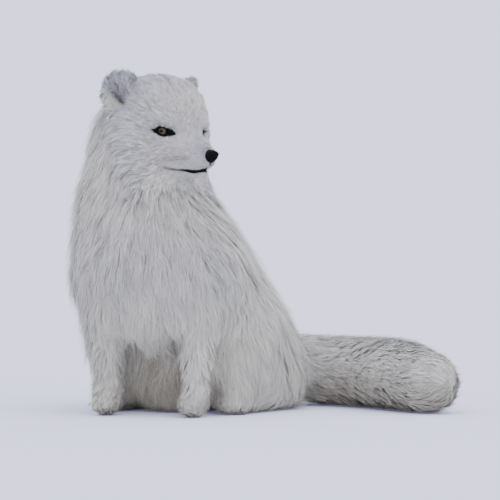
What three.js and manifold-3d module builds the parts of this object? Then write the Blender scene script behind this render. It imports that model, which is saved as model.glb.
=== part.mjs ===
// An arctic fox in full winter coat, sitting on a level floor. Its head is turned to its left and its
// tail is laid out on its left side. Millimetres, +Z up: the chest faces -Y and the fox's left is +X.
// Every solid follows the outside of the coat, out to the tips of the hair.
import * as THREE from "three";
import { mergeVertices } from "three/addons/utils/BufferGeometryUtils.js";
import Module from "manifold-3d";

const wasm = await Module();
wasm.setup();

// ---- Driving dimensions ----

const cutGap = 0.3;

// Head: the eye point lies midway between the eyes, and the head's own axes are forward, left and up.
const eyePoint = new THREE.Vector3(41, -70, 338);
const headTurn = 58;
const headPitch = -2;
const headRoll = 3;
const skullHalf = [50, 53, 54];
const skullBehindEyes = 37;
const crownHalf = [42, 50, 26];
const muzzleLength = 55;
const noseHalf = [7.5, 8, 7];
const eyeRadius = 9;
const eyeSpread = 21;
const eyeOutward = 42;
const earHalf = [25, 26, 17];
const earFill = 3;
const earRim = 0.2;
const earLeft = [-60, 51, 35];
const earRight = [-50, -55, 40];
const earTurn = 50;
const earLean = 20;

// Body: half widths, depths and heights with the coat on.
const chestHalf = [107, 88, 84];
const chestCentre = [-3, -34, 182];
const ruffHalf = [67, 70, 78];
const haunchHalf = [60, 90, 80];
const haunchSpread = 61;
const seatDepth = 86;
const thighInner = 45.5;
const foreLegSpread = 56;
const foreLegRadius = 20;
const foreLegY = -60;
const elbowHeight = 150;
const pawHalf = [19, 28, 17];
const hindFootSpread = 80;
const hindFootHalf = [21, 64, 20];

// Tail: a thick brush that leaves the rump low down and curves round to the left.
const tailPath = [
  [6, 176, 58],
  [78, 206, 44],
  [160, 194, 40],
  [230, 150, 41],
  [290, 100, 36],
];
const tailRadii = [34, 42, 45, 46, 39];
const tailCuts = [0.42, 0.7];

// Where the body is parted: the planes and blocks that the thin cuts follow. Boxes are low and high
// corners on the left side, and are mirrored for the right.
const neckPlane = { point: [0, -30, 226], normal: [0, -0.25, 0.97] };
const napePoint = [-74, 0, 56];
const napeLean = [0.92, 0, 0.39];
const throatDrop = 70;
const lipLine = { drop: 43.5, slope: 3, corner: -10, length: 120, width: 68, depth: 60 };
const foreLegBox = [[24, -140, -20], [150, -35, 124]];
const forePawBox = [[24, -150, -20], [80, -38, 34]];
const hindFootBox = [[56, -37, -20], [140, 66, 33]];
const thighDisc = { y: seatDepth - 9, z: 63, halfDepth: 104, halfHeight: 93, width: 160 };

// Cell sizes of the faceted surfaces.
const bodyCell = 26;
const neckCell = 21.25;
const legCell = 12.75;
const footCell = 13.1;
const headCell = 10;
const tailCell = 21;

// ---- Distance fields: functions of a point that are negative inside ----

function ellipsoid(centre, half, turn = new THREE.Quaternion()) {
  const back = turn.clone().invert();
  const q = new THREE.Vector3();
  return (p) => {
    q.set(p.x - centre[0], p.y - centre[1], p.z - centre[2]).applyQuaternion(back);
    const near = Math.hypot(q.x / half[0], q.y / half[1], q.z / half[2]);
    const steep = Math.hypot(q.x / half[0] ** 2, q.y / half[1] ** 2, q.z / half[2] ** 2);
    return steep > 0 ? (near * (near - 1)) / steep : -Math.min(...half);
  };
}

function roundCone(a, b, radiusA, radiusB) {
  const start = new THREE.Vector3(...a);
  const axis = new THREE.Vector3(...b).sub(start);
  const along = axis.lengthSq();
  const q = new THREE.Vector3();
  return (p) => {
    q.copy(p).sub(start);
    const t = THREE.MathUtils.clamp(q.dot(axis) / along, 0, 1);
    return q.addScaledVector(axis, -t).length() - THREE.MathUtils.lerp(radiusA, radiusB, t);
  };
}

function softMin(a, b, soft) {
  const h = Math.max(soft - Math.abs(a - b), 0) / soft;
  return Math.min(a, b) - (h * h * soft) / 4;
}

function blend(soft, ...masses) {
  return (p) => masses.map((mass) => mass(p)).reduce((a, b) => softMin(a, b, soft));
}

// A tube round a curve whose radius follows its own list along the curve.
function brushTube(route, radii, steps) {
  const radiusAt = (t) => {
    const place = t * (radii.length - 1);
    const i = Math.min(Math.floor(place), radii.length - 2);
    return THREE.MathUtils.lerp(radii[i], radii[i + 1], THREE.MathUtils.smoothstep(place - i, 0, 1));
  };
  const lengths = [];
  for (let i = 0; i < steps; i++) {
    const ends = [i / steps, (i + 1) / steps];
    lengths.push(roundCone(...ends.map((t) => route.getPoint(t).toArray()), ...ends.map(radiusAt)));
  }
  return (p) => Math.min(...lengths.map((length) => length(p)));
}

function mirrored(make) {
  return [make(1), make(-1)];
}

// ---- Faceted surfaces: one vertex in each cell that the field's zero level crosses ----

function gradient(field, p, step) {
  const at = (x, y, z) => field(new THREE.Vector3(p.x + x, p.y + y, p.z + z));
  return new THREE.Vector3(
    at(step, 0, 0) - at(-step, 0, 0),
    at(0, step, 0) - at(0, -step, 0),
    at(0, 0, step) - at(0, 0, -step),
  ).divideScalar(2 * step);
}

function settle(field, p) {
  for (let round = 0; round < 3; round++) {
    const slope = gradient(field, p, 0.5);
    p.addScaledVector(slope, -field(p) / Math.max(slope.lengthSq(), 0.1));
  }
  return p;
}

function surface(field, [low, high], cell) {
  const size = [0, 1, 2].map((i) => Math.ceil((high[i] - low[i]) / cell) + 1);
  const corner = (...step) => new THREE.Vector3(...step.map((n, i) => low[i] + n * cell));
  const index = (i, j, k) => i + size[0] * (j + size[1] * k);
  const rim = (i, n) => i === 0 || i === n - 1;
  const values = new Float32Array(size[0] * size[1] * size[2]);
  forCells(size, (i, j, k) => {
    const outside = rim(i, size[0]) || rim(j, size[1]) || rim(k, size[2]);
    const value = field(corner(i, j, k));
    values[index(i, j, k)] = outside ? Math.max(value, cell / 3) : value;
  });
  const points = [];
  const vertexOf = new Map();
  forCells(size.map((n) => n - 1), (i, j, k) => {
    const p = cellPoint(values, index, corner, cell, i, j, k);
    if (p) {
      const walled = [i, j, k].some((n, axis) => n === 0 || n === size[axis] - 2);
      vertexOf.set(index(i, j, k), points.length);
      points.push(walled ? p : settle(field, p));
    }
  });
  const faces = [];
  forCells(size.map((n) => n - 1), (i, j, k) => {
    for (let axis = 0; axis < 3; axis++) {
      addQuad(faces, points, vertexOf, values, index, [i, j, k], axis);
    }
  });
  const geometry = new THREE.BufferGeometry().setFromPoints(points);
  geometry.setIndex(faces);
  return geometry;
}

function forCells(size, visit) {
  for (let k = 0; k < size[2]; k++) {
    for (let j = 0; j < size[1]; j++) {
      for (let i = 0; i < size[0]; i++) visit(i, j, k);
    }
  }
}

function cellPoint(values, index, corner, cell, i, j, k) {
  const sum = new THREE.Vector3();
  let count = 0;
  for (let axis = 0; axis < 3; axis++) {
    for (let a = 0; a < 2; a++) {
      for (let b = 0; b < 2; b++) {
        const step = [0, 0, 0];
        step[(axis + 1) % 3] = a;
        step[(axis + 2) % 3] = b;
        const from = values[index(i + step[0], j + step[1], k + step[2])];
        const start = corner(i + step[0], j + step[1], k + step[2]);
        step[axis] = 1;
        const to = values[index(i + step[0], j + step[1], k + step[2])];
        if (from < 0 !== to < 0) {
          start.setComponent(axis, start.getComponent(axis) + (cell * from) / (from - to));
          sum.add(start);
          count++;
        }
      }
    }
  }
  return count ? sum.divideScalar(count) : null;
}

function addQuad(faces, points, vertexOf, values, index, cell, axis) {
  const u = (axis + 1) % 3;
  const v = (axis + 2) % 3;
  const end = [...cell];
  end[axis] += 1;
  const inside = values[index(...cell)] < 0;
  if (cell[u] === 0 || cell[v] === 0 || inside === values[index(...end)] < 0) return;
  const ring = [[1, 1], [0, 1], [0, 0], [1, 0]].map(([a, b]) => {
    const at = [...cell];
    at[u] -= a;
    at[v] -= b;
    return vertexOf.get(index(...at));
  });
  const [a, b, c, d] = inside ? ring : ring.reverse();
  if (points[a].distanceTo(points[c]) < points[b].distanceTo(points[d])) faces.push(a, b, c, a, c, d);
  else faces.push(b, c, d, b, d, a);
}

// ---- Solids ----

function solid(geometry) {
  const bare = geometry.clone();
  bare.deleteAttribute("normal");
  bare.deleteAttribute("uv");
  const merged = mergeVertices(bare, 1e-4);
  return new wasm.Manifold(
    new wasm.Mesh({
      numProp: 3,
      vertProperties: merged.attributes.position.array,
      triVerts: new Uint32Array(merged.index.array),
    }),
  );
}

// The same surface moved out by the cut gap, to cut a neighbour with.
function swollen(geometry) {
  const grown = geometry.clone();
  grown.computeVertexNormals();
  const { position, normal } = grown.attributes;
  const p = new THREE.Vector3();
  const n = new THREE.Vector3();
  for (let i = 0; i < position.count; i++) {
    p.fromBufferAttribute(position, i).addScaledVector(n.fromBufferAttribute(normal, i), cutGap * 1.4);
    position.setXYZ(i, ...p.toArray());
  }
  return solid(grown);
}

function box(low, high, grow = 0) {
  const size = low.map((value, i) => high[i] - value + 2 * grow);
  const middle = low.map((value, i) => (high[i] + value) / 2);
  return solid(new THREE.BoxGeometry(...size).translate(...middle));
}

// Everything on the far side of a plane: a big block whose near face has this point and normal.
function beyond(point, normal, grow = 0, reach = 700) {
  const face = new THREE.Vector3(...normal).normalize();
  const turn = new THREE.Quaternion().setFromUnitVectors(new THREE.Vector3(0, 0, 1), face);
  const block = new THREE.BoxGeometry(reach, reach, reach).translate(0, 0, reach / 2 - grow);
  return solid(block.applyQuaternion(turn).translate(...point));
}

function largest(body) {
  return body.decompose().reduce((a, b) => (a.volume() > b.volume() ? a : b));
}

// ---- Head ----

const headAxes = new THREE.Quaternion()
  .setFromAxisAngle(new THREE.Vector3(0, 0, 1), THREE.MathUtils.degToRad(headTurn - 90))
  .multiply(
    new THREE.Quaternion().setFromEuler(
      new THREE.Euler(THREE.MathUtils.degToRad(-headRoll), THREE.MathUtils.degToRad(-headPitch), 0),
    ),
  );

// A point given forward, left and up of the eye point, in the body's frame.
function onHead(forward, left, up) {
  return new THREE.Vector3(forward, left, up).applyQuaternion(headAxes).add(eyePoint).toArray();
}

function headMass(centre, half, lean = new THREE.Quaternion()) {
  return ellipsoid(onHead(...centre), half, headAxes.clone().multiply(lean));
}

function tilt(x, y, z) {
  return new THREE.Quaternion().setFromEuler(new THREE.Euler(...[x, y, z].map(THREE.MathUtils.degToRad)));
}

function headField() {
  const skull = headMass([-skullBehindEyes, 0, 4], skullHalf);
  const crown = headMass([-46, 0, 36], crownHalf);
  const brow = headMass([-12, 0, 16], [27, 36, 27]);
  const [cheekL, cheekR] = mirrored((side) => headMass([-38, side * 29, -24], [36, 30, 36]));
  const muzzle = roundCone(onHead(-10, 0, -14), onHead(muzzleLength - 2, 0, -28), 27, 12.5);
  const bridge = roundCone(onHead(-2, 0, 2), onHead(muzzleLength, 0, -23), 14, 8);
  const jaw = roundCone(onHead(-24, 0, -38), onHead(muzzleLength - 12, 0, -44), 20, 9);
  const throat = headMass([-36, 0, -50], [36, 36, 26]);
  const face = blend(14, skull, crown, brow, cheekL, cheekR, throat);
  return blend(12, face, blend(7, muzzle, bridge, jaw));
}

// ---- Body ----

function foreLeg(side) {
  const x = side * foreLegSpread;
  const upper = roundCone([x, foreLegY + 8, elbowHeight], [x, foreLegY, 70], 30, foreLegRadius);
  const lower = roundCone([x, foreLegY, 70], [x, foreLegY - 2, 16], foreLegRadius, 17);
  return blend(8, upper, lower);
}

function shoulder(side) {
  return ellipsoid([side * 66, -30, 158], [44, 56, 56]);
}

function forePaw(side) {
  return ellipsoid([side * foreLegSpread, foreLegY - 12, 14], pawHalf);
}

function hindLeg(side) {
  const thigh = ellipsoid([side * haunchSpread, seatDepth, 62], haunchHalf);
  const knee = ellipsoid([side * 70, 12, 50], [32, 42, 38]);
  const flank = ellipsoid([side * 91, 34, 104], [38, 42, 52]);
  const skirt = ellipsoid([side * 62, 104, 30], [62, 78, 42]);
  return blend(26, thigh, knee, flank, skirt);
}

function hindFoot(side) {
  return ellipsoid([side * hindFootSpread, 24, 14], hindFootHalf);
}

function bodyField() {
  const chest = ellipsoid(chestCentre, chestHalf);
  const bib = ellipsoid([0, -76, 164], [62, 44, 54]);
  const bibTip = ellipsoid([-4, -66, 112], [17, 22, 38]);
  const withers = ellipsoid([-18, 14, 220], [62, 64, 62]);
  const back = ellipsoid([0, 62, 134], [99, 116, 74], tilt(-42, 0, 0));
  const rump = ellipsoid([0, 124, 72], [84, 82, 76]);
  const belly = ellipsoid([0, 54, 96], [78, 76, 56]);
  const curtain = ellipsoid([0, 4, 78], [60, 38, 92]);
  const torso = blend(40, chest, bib, withers, back, rump, belly);
  const trunk = blend(20, torso, curtain, bibTip, ...mirrored(shoulder));
  const legged = blend(18, trunk, ...mirrored(foreLeg), ...mirrored(hindLeg));
  return blend(7, legged, ...mirrored(forePaw), ...mirrored(hindFoot));
}

function neckField() {
  const ruff = ellipsoid([-24, -28, 314], ruffHalf);
  const neck = ellipsoid([-25, -42, 246], [76, 74, 70]);
  return blend(30, ruff, neck);
}

const body = bodyField();
const neckAndBody = blend(34, neckField(), body);
const whole = blend(22, neckAndBody, headField());

// ---- Ears, eyes, nose ----

// A short round ear: a deep dome behind, and a front that the hair inside fills out past its rim.
function earShell() {
  const outline = [];
  for (let i = 0; i <= 6; i++) {
    const angle = ((i / 6 - 1) * Math.PI) / 2;
    outline.push(new THREE.Vector2(Math.cos(angle), Math.sin(angle)));
  }
  const fill = earFill / earHalf[2];
  for (let i = 5; i >= 0; i--) {
    const angle = ((i / 5 - 1) * Math.PI) / 2;
    outline.push(new THREE.Vector2(Math.cos(angle) * (1 - earRim), 0.12 - Math.sin(angle) * fill));
  }
  outline[0].x = 0;
  outline.at(-1).x = 0;
  const shell = new THREE.LatheGeometry(outline, 16);
  return shell.rotateZ(-Math.PI / 2).rotateX(Math.PI / 2).scale(earHalf[2], earHalf[0], earHalf[1]);
}

function earSolid(side) {
  const middle = onHead(...(side > 0 ? earLeft : earRight));
  const outward = tilt(side * -earLean, -8, side * earTurn);
  return solid(earShell().applyQuaternion(headAxes.clone().multiply(outward)).translate(...middle));
}

function eyeDirection(side) {
  const angle = THREE.MathUtils.degToRad(eyeOutward) * side;
  return new THREE.Vector3(Math.cos(angle), Math.sin(angle), 0.04).normalize().applyQuaternion(headAxes);
}

function eyeBall(side, radius) {
  const centre = onHead(-7, side * eyeSpread, 0);
  return solid(new THREE.SphereGeometry(radius, 14, 10).translate(...centre));
}

function eyeOpening(side) {
  const look = eyeDirection(side);
  const turn = new THREE.Quaternion().setFromUnitVectors(new THREE.Vector3(1, 0, 0), look);
  const centre = new THREE.Vector3(...onHead(-7, side * eyeSpread, 0)).addScaledVector(look, 13);
  const shape = new THREE.SphereGeometry(1, 12, 8).scale(9, 10.5, 5.5);
  return solid(shape.applyQuaternion(turn).translate(...centre.toArray()));
}

function noseSolid() {
  const pad = new THREE.SphereGeometry(1, 14, 8).scale(...noseHalf).applyQuaternion(headAxes);
  return solid(pad.translate(...onHead(muzzleLength + 9, 0, -24.2)));
}

// ---- Division into named pieces ----

const floor = box([-600, -600, -100], [600, 600, 0]);

const napeNormal = new THREE.Vector3(...napeLean).applyQuaternion(headAxes).toArray();
const headBehind = (grow) => beyond(onHead(...napePoint), napeNormal, grow);
const headBelow = (grow) => beyond(onHead(0, 0, -throatDrop), [0, 0, 1], grow);
const headBlock = (grow) => headBehind(grow).intersect(headBelow(grow));
const aboveNeck = (grow = 0) => beyond(neckPlane.point, neckPlane.normal, grow);

// A block whose top is the line of the lips and whose back is the corner of the mouth.
function mouthBlock(grow) {
  const { drop, slope, corner, length, width, depth } = lipLine;
  const block = new THREE.BoxGeometry(length + 2 * grow, width + 2 * grow, depth + 2 * grow);
  block.translate(corner + length / 2, 0, -drop - depth / 2);
  block.applyQuaternion(tilt(0, -slope, 0)).applyQuaternion(headAxes);
  return solid(block.translate(...eyePoint.toArray()));
}

// The same range on the left side (side 1) or mirrored to the right (side -1).
function onSide(side, [low, high]) {
  const [near, far] = side > 0 ? [low[0], high[0]] : [-high[0], -low[0]];
  return [[near, low[1], low[2]], [far, high[1], high[2]]];
}

const foreLegBlock = (side, grow = 0) => box(...onSide(side, foreLegBox), grow);
const forePawBlock = (side, grow = 0) => box(...onSide(side, forePawBox), grow);
const hindFootBlock = (side, grow = 0) => box(...onSide(side, hindFootBox), grow);

// An upright disc that holds one thigh, from beside the mid-plane out past the flank.
function thighBlock(side, grow = 0) {
  const { y, z, halfDepth, halfHeight, width: depth } = thighDisc;
  const outline = new THREE.Shape();
  outline.absellipse(y, z, halfDepth + grow, halfHeight + grow, 0, 2 * Math.PI);
  const disc = new THREE.ExtrudeGeometry(outline, { depth, bevelEnabled: false, curveSegments: 14 });
  const upright = new THREE.Matrix4().set(0, 0, 1, 0, 1, 0, 0, 0, 0, 1, 0, 0, 0, 0, 0, 1);
  const start = side > 0 ? thighInner - grow : grow - thighInner - depth;
  return solid(disc.applyMatrix4(upright).translate(start, 0, 0));
}

// Ranges that the surfaces of the body, neck, head, tail and limbs are made in.
const bodyRange = [[-170, -170, -40], [170, 260, 420]];
const neckRange = [[-130, -160, 180], [140, 90, 420]];
const headRange = [[-70, -165, 246], [130, 60, 426]];
const tailRange = [[-60, 20, -30], [350, 280, 110]];
const foreLegRange = [[8, -150, -24], [160, 0, 150]];
const hindFootRange = [[30, -100, -24], [160, 90, 60]];

const bodySurface = surface(neckAndBody, bodyRange, bodyCell);
const bodySolid = solid(bodySurface).subtract(floor);
const neckSurface = surface(whole, neckRange, neckCell);
const neckSolid = solid(neckSurface);
const headSurface = surface(whole, headRange, headCell);
const headSolid = solid(headSurface);

function limbSolid(side, range, cell) {
  return solid(surface(whole, onSide(side, range), cell)).subtract(floor);
}

const sides = [["left", 1], ["right", -1]];

function trunkPiece() {
  let trunk = bodySolid.subtract(aboveNeck(cutGap));
  for (const [, side] of sides) {
    for (const block of [foreLegBlock, forePawBlock, hindFootBlock, thighBlock]) {
      trunk = trunk.subtract(block(side, cutGap));
    }
  }
  return largest(trunk);
}

function thighPiece(side) {
  let thigh = bodySolid.intersect(thighBlock(side)).subtract(aboveNeck(cutGap));
  for (const block of [foreLegBlock, forePawBlock, hindFootBlock]) {
    thigh = thigh.subtract(block(side, cutGap));
  }
  return largest(thigh);
}

function foreLegPieces(side) {
  const limb = limbSolid(side, foreLegRange, legCell);
  const leg = limb.intersect(foreLegBlock(side)).subtract(forePawBlock(side, cutGap));
  return [largest(leg), largest(limb.intersect(forePawBlock(side)))];
}

function hindFootPiece(side) {
  const foot = limbSolid(side, hindFootRange, footCell).intersect(hindFootBlock(side));
  return largest(foot.subtract(forePawBlock(side, cutGap)));
}

function headPieces() {
  let head = headSolid.intersect(headBlock(0));
  const jaw = largest(head.intersect(mouthBlock(0)));
  head = head.subtract(mouthBlock(cutGap));
  for (const [, side] of sides) {
    head = head.subtract(eyeBall(side, eyeRadius + cutGap)).subtract(eyeOpening(side));
  }
  return [largest(head), jaw];
}

function tailPieces() {
  const route = new THREE.CatmullRomCurve3(tailPath.map((point) => new THREE.Vector3(...point)));
  const brush = surface(brushTube(route, tailRadii, 12), tailRange, tailCell);
  const free = solid(brush).subtract(floor).subtract(swollen(bodySurface));
  const past = (t, grow) => beyond(route.getPointAt(t).toArray(), route.getTangentAt(t).toArray(), grow);
  const [first, second] = tailCuts;
  return [
    largest(free.subtract(past(first, cutGap))),
    largest(free.intersect(past(first, 0)).subtract(past(second, cutGap))),
    largest(free.intersect(past(second, 0))),
  ];
}

// ---- The fox ----

const coatWhite = { color: "#c9c6c1", roughness: 0.9, metalness: 0 };
const earGrey = { color: "#9d9ca0", roughness: 0.9, metalness: 0 };
const tailBrown = { color: "#857d76", roughness: 0.9, metalness: 0 };
const noseBlack = { color: "#17171a", roughness: 0.35, metalness: 0 };
const eyeAmber = { color: "#3a2a17", roughness: 0.08, metalness: 0 };

const fox = new THREE.Group();
fox.name = "arctic_fox";

function add(name, piece, finish) {
  const mesh = piece.getMesh();
  const geometry = new THREE.BufferGeometry();
  geometry.setAttribute("position", new THREE.BufferAttribute(mesh.vertProperties, 3));
  geometry.setIndex(new THREE.BufferAttribute(mesh.triVerts, 1));
  geometry.computeVertexNormals();
  const part = new THREE.Mesh(geometry, new THREE.MeshStandardMaterial(finish));
  part.name = name;
  fox.add(part);
}

const [head, jaw] = headPieces();
const headSwollen = swollen(headSurface);
const neckSwollen = swollen(neckSurface);

function earPiece(side) {
  return largest(earSolid(side).subtract(headSwollen).subtract(neckSwollen));
}

add("head", head, coatWhite);
add("lower_jaw", jaw, coatWhite);
add("nose", largest(noseSolid().subtract(headSwollen)), noseBlack);
for (const [word, side] of sides) {
  add(`eye_${word}`, eyeBall(side, eyeRadius), eyeAmber);
  add(`ear_${word}`, earPiece(side), earGrey);
}

add("neck", largest(neckSolid.intersect(aboveNeck()).subtract(headBlock(cutGap))), coatWhite);
add("trunk", trunkPiece(), coatWhite);
for (const [word, side] of sides) {
  const [leg, paw] = foreLegPieces(side);
  add(`fore_leg_${word}`, leg, coatWhite);
  add(`fore_paw_${word}`, paw, coatWhite);
  add(`thigh_${word}`, thighPiece(side), coatWhite);
  add(`hind_foot_${word}`, hindFootPiece(side), coatWhite);
}
tailPieces().forEach((piece, i) => add(["tail_base", "tail_middle", "tail_tip"][i], piece, tailBrown));

// The origin is on the floor, under the middle of the fox.
const bounds = new THREE.Box3().setFromObject(fox);
const middle = bounds.getCenter(new THREE.Vector3());
fox.position.set(-middle.x, -middle.y, -bounds.min.z);

export default fox;
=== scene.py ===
import math
import bmesh
import bpy
import numpy as np
from mathutils import Matrix, Vector
from mathutils.bvhtree import BVHTree
from mathutils.kdtree import KDTree


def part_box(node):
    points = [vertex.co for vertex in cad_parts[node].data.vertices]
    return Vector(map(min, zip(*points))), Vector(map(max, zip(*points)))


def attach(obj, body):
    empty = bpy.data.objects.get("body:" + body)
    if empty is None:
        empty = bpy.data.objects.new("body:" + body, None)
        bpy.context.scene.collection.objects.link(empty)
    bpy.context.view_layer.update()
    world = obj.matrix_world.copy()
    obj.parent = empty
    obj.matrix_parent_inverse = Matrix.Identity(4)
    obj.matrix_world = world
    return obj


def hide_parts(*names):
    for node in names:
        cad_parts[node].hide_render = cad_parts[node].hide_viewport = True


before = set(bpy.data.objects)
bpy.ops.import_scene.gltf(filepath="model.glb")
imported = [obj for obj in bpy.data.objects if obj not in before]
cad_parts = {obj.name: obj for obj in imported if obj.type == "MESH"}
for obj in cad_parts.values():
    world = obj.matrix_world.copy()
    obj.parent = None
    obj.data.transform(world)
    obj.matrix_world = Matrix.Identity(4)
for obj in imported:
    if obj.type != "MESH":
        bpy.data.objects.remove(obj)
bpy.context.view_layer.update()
print("frame loaded:", len(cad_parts), "solids")

# small helpers


def unit(v):
    return v / np.maximum(np.linalg.norm(v, axis=-1, keepdims=True), 1e-12)


def lengthOf(v):
    return np.linalg.norm(v, axis=-1)


def dot(a, b):
    return (a * b).sum(-1)


def mix(a, b, t):
    return a + (b - a) * t


def smoothStep(low, high, x):
    t = np.clip((x - low) / (high - low), 0, 1)
    return t * t * (3 - 2 * t)


def bell(x, width):
    return np.exp(-((x / width) ** 2))


def boxOf(node):
    return [np.array(corner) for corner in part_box(node)]


def middleOf(node):
    low, high = boxOf(node)
    return (low + high) / 2


def makeMesh(name, points, faces):
    # faces is a list of arrays, one for each number of corners
    mesh = bpy.data.meshes.new(name)
    corners = np.concatenate([f.ravel() for f in faces]).astype(np.int32)
    counts = np.concatenate([np.full(len(f), f.shape[1]) for f in faces])
    starts = np.concatenate([[0], np.cumsum(counts)[:-1]]).astype(np.int32)
    mesh.vertices.add(len(points))
    mesh.vertices.foreach_set("co", np.asarray(points, np.float32).ravel())
    mesh.loops.add(len(corners))
    mesh.loops.foreach_set("vertex_index", corners)
    mesh.polygons.add(len(counts))
    mesh.polygons.foreach_set("loop_start", starts)
    mesh.update(calc_edges=True)
    mesh.polygons.foreach_set("use_smooth", np.full(len(counts), True))
    return mesh


def joinParts(parts):
    # each part is its points, then its arrays of faces
    starts = np.cumsum([0] + [len(part[0]) for part in parts])
    faces = [np.concatenate([part[i] + start for part, start in zip(parts, starts)])
             for i in range(1, len(parts[0]))]
    return np.concatenate([part[0] for part in parts]), faces


def placeObject(name, data):
    made = bpy.data.objects.new(name, data)
    bpy.context.scene.collection.objects.link(made)
    return made


def addPiece(mesh, slot, material, *replaced, place=None):
    piece = placeObject(mesh.name, mesh)
    piece.data.materials.append(material)
    if place is not None:
        piece.matrix_world = place
    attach(piece, "root")
    if replaced:
        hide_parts(*replaced)


def pointsOf(mesh):
    found = np.empty(len(mesh.vertices) * 3)
    mesh.vertices.foreach_get("co", found)
    return found.reshape(-1, 3)


def trianglesOf(mesh):
    mesh.calc_loop_triangles()
    found = np.empty(len(mesh.loop_triangles) * 3, np.int32)
    mesh.loop_triangles.foreach_get("vertices", found)
    return found.reshape(-1, 3)


def pointNormals(points, faces):
    a, b, c = (points[faces[:, i]] for i in range(3))
    flat = np.cross(b - a, c - a) / 2
    total = np.zeros_like(points)
    for axis in range(3):
        for corner in range(3):
            total[:, axis] += np.bincount(faces[:, corner], flat[:, axis], len(points))
    return unit(total)


def linksOf(faces):
    pairs = np.concatenate([faces[:, [0, 1]], faces[:, [1, 2]], faces[:, [2, 0]]])
    pairs = np.unique(np.sort(pairs, axis=1), axis=0)
    return np.concatenate([pairs, pairs[:, ::-1]])


def spread(values, links, rounds, weight=0.5):
    # evens values out over the surface, each point moving towards the mean of its neighbours
    values = values.reshape(len(values), -1).astype(float)
    count = np.maximum(np.bincount(links[:, 0], minlength=len(values)), 1)
    for _ in range(rounds):
        for column in range(values.shape[1]):
            near = np.bincount(links[:, 0], values[links[:, 1], column], len(values)) / count
            values[:, column] += weight * (near - values[:, column])
    return values


def addNode(tree, kind, values=None, **settings):
    node = tree.nodes.new(kind)
    for key, value in settings.items():
        setattr(node, key, value)
    for key, value in (values or {}).items():
        if isinstance(value, bpy.types.NodeSocket):
            tree.links.new(value, node.inputs[key])
        else:
            node.inputs[key].default_value = value
    return node


def blendColour(tree, amount, a, b, how="MIX"):
    values = {0: amount, 6: a if isinstance(a, bpy.types.NodeSocket) else (*a, 1)}
    values[7] = b if isinstance(b, bpy.types.NodeSocket) else (*b, 1)
    return addNode(tree, "ShaderNodeMix", values, data_type="RGBA", blend_type=how).outputs[2]


def newMaterial(name, surface):
    material = bpy.data.materials.new(name)
    material.use_nodes = True
    shader = material.node_tree.nodes["Principled BSDF"]
    for title, value in surface.items():
        shader.inputs[title].default_value = value
    return material, material.node_tree, shader


# the head's own axes

sides = ((1, "left"), (-1, "right"))
eyeMiddles = {side: middleOf(f"eye_{word}") for side, word in sides}
earMiddles = {side: middleOf(f"ear_{word}") for side, word in sides}
noseMiddle = middleOf("nose")
eyeLow, eyeHigh = boxOf("eye_left")
eyeRadius = (eyeHigh - eyeLow).max() / 2
noseFall = math.radians(18.5)  # the nose lies this far below the eyes, seen from between them
eyeSetBack = 0.007

headLeft = unit(eyeMiddles[1] - eyeMiddles[-1])
betweenEyes = (eyeMiddles[1] + eyeMiddles[-1]) / 2
toNose = noseMiddle - betweenEyes
toNose = unit(toNose - dot(toNose, headLeft) * headLeft)
headForward = math.cos(noseFall) * toNose + math.sin(noseFall) * np.cross(toNose, headLeft)
headUp = np.cross(headForward, headLeft)
headAxes = np.array([headForward, headLeft, headUp])
facePoint = betweenEyes + eyeSetBack * headForward


def toHead(p):  # forward, left and up of the point between the eyes
    return (p - facePoint) @ headAxes.T


def fromHead(forward, left, up):
    return facePoint + np.array([forward, left, up]) @ headAxes


def distanceTo(p, middles):  # to the nearer of two
    return np.min([lengthOf(p - middle) for middle in middles.values()], axis=0)


# camera

cameraSet = {
    "azimuth": 22,
    "elevation": 3,
    "distance": 14,
    "width": 0.5952,  # how wide a strip it takes in where the fox sits
    "aside": -0.0218,
    "height": 0.1925,
    "sensor": 36,
    "farthest": 200,
}


def placeCamera():
    turn, rise = (math.radians(cameraSet[key]) for key in ("azimuth", "elevation"))
    right = Vector((math.cos(turn), math.sin(turn), 0))
    towards = Vector((math.sin(turn), -math.cos(turn), 0)) * math.cos(rise)
    towards += Vector((0, 0, math.sin(rise)))
    up = towards.cross(right)
    aim = right * cameraSet["aside"] + up * cameraSet["height"]
    lens = bpy.data.cameras.new("camera")
    lens.sensor_width = cameraSet["sensor"]
    lens.lens = cameraSet["sensor"] * cameraSet["distance"] / cameraSet["width"]
    lens.clip_end = cameraSet["farthest"]
    camera = placeObject("camera", lens)
    turned = Matrix((right, up, towards)).transposed().to_4x4()
    camera.matrix_world = Matrix.Translation(aim + towards * cameraSet["distance"]) @ turned
    bpy.context.scene.camera = camera


placeCamera()

# light and floor

studio = {
    "backdrop": (1.60, 1.69, 2.70),
    "skyLight": (1.44, 1.46, 1.57),
    "sunStrength": 1.6,
    "sunColour": (1.0, 0.96, 0.88),
    "sunSpread": 70,
    "sunTurn": (32, 26, 0),
    "floor": (0.79, 0.83, 1.0),
    "floorBounce": (0.86, 0.86, 0.87),  # the light it throws back is plainer than it looks
    "floorGlow": (0.09, 0.09, 0.15),  # a cool cast that only the camera sees
    "floorRadius": 60,
    "floorSides": 96,
    "floorSurface": {"Roughness": 0.95, "Specular IOR Level": 0.1, "Emission Strength": 1.0},
}


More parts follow.
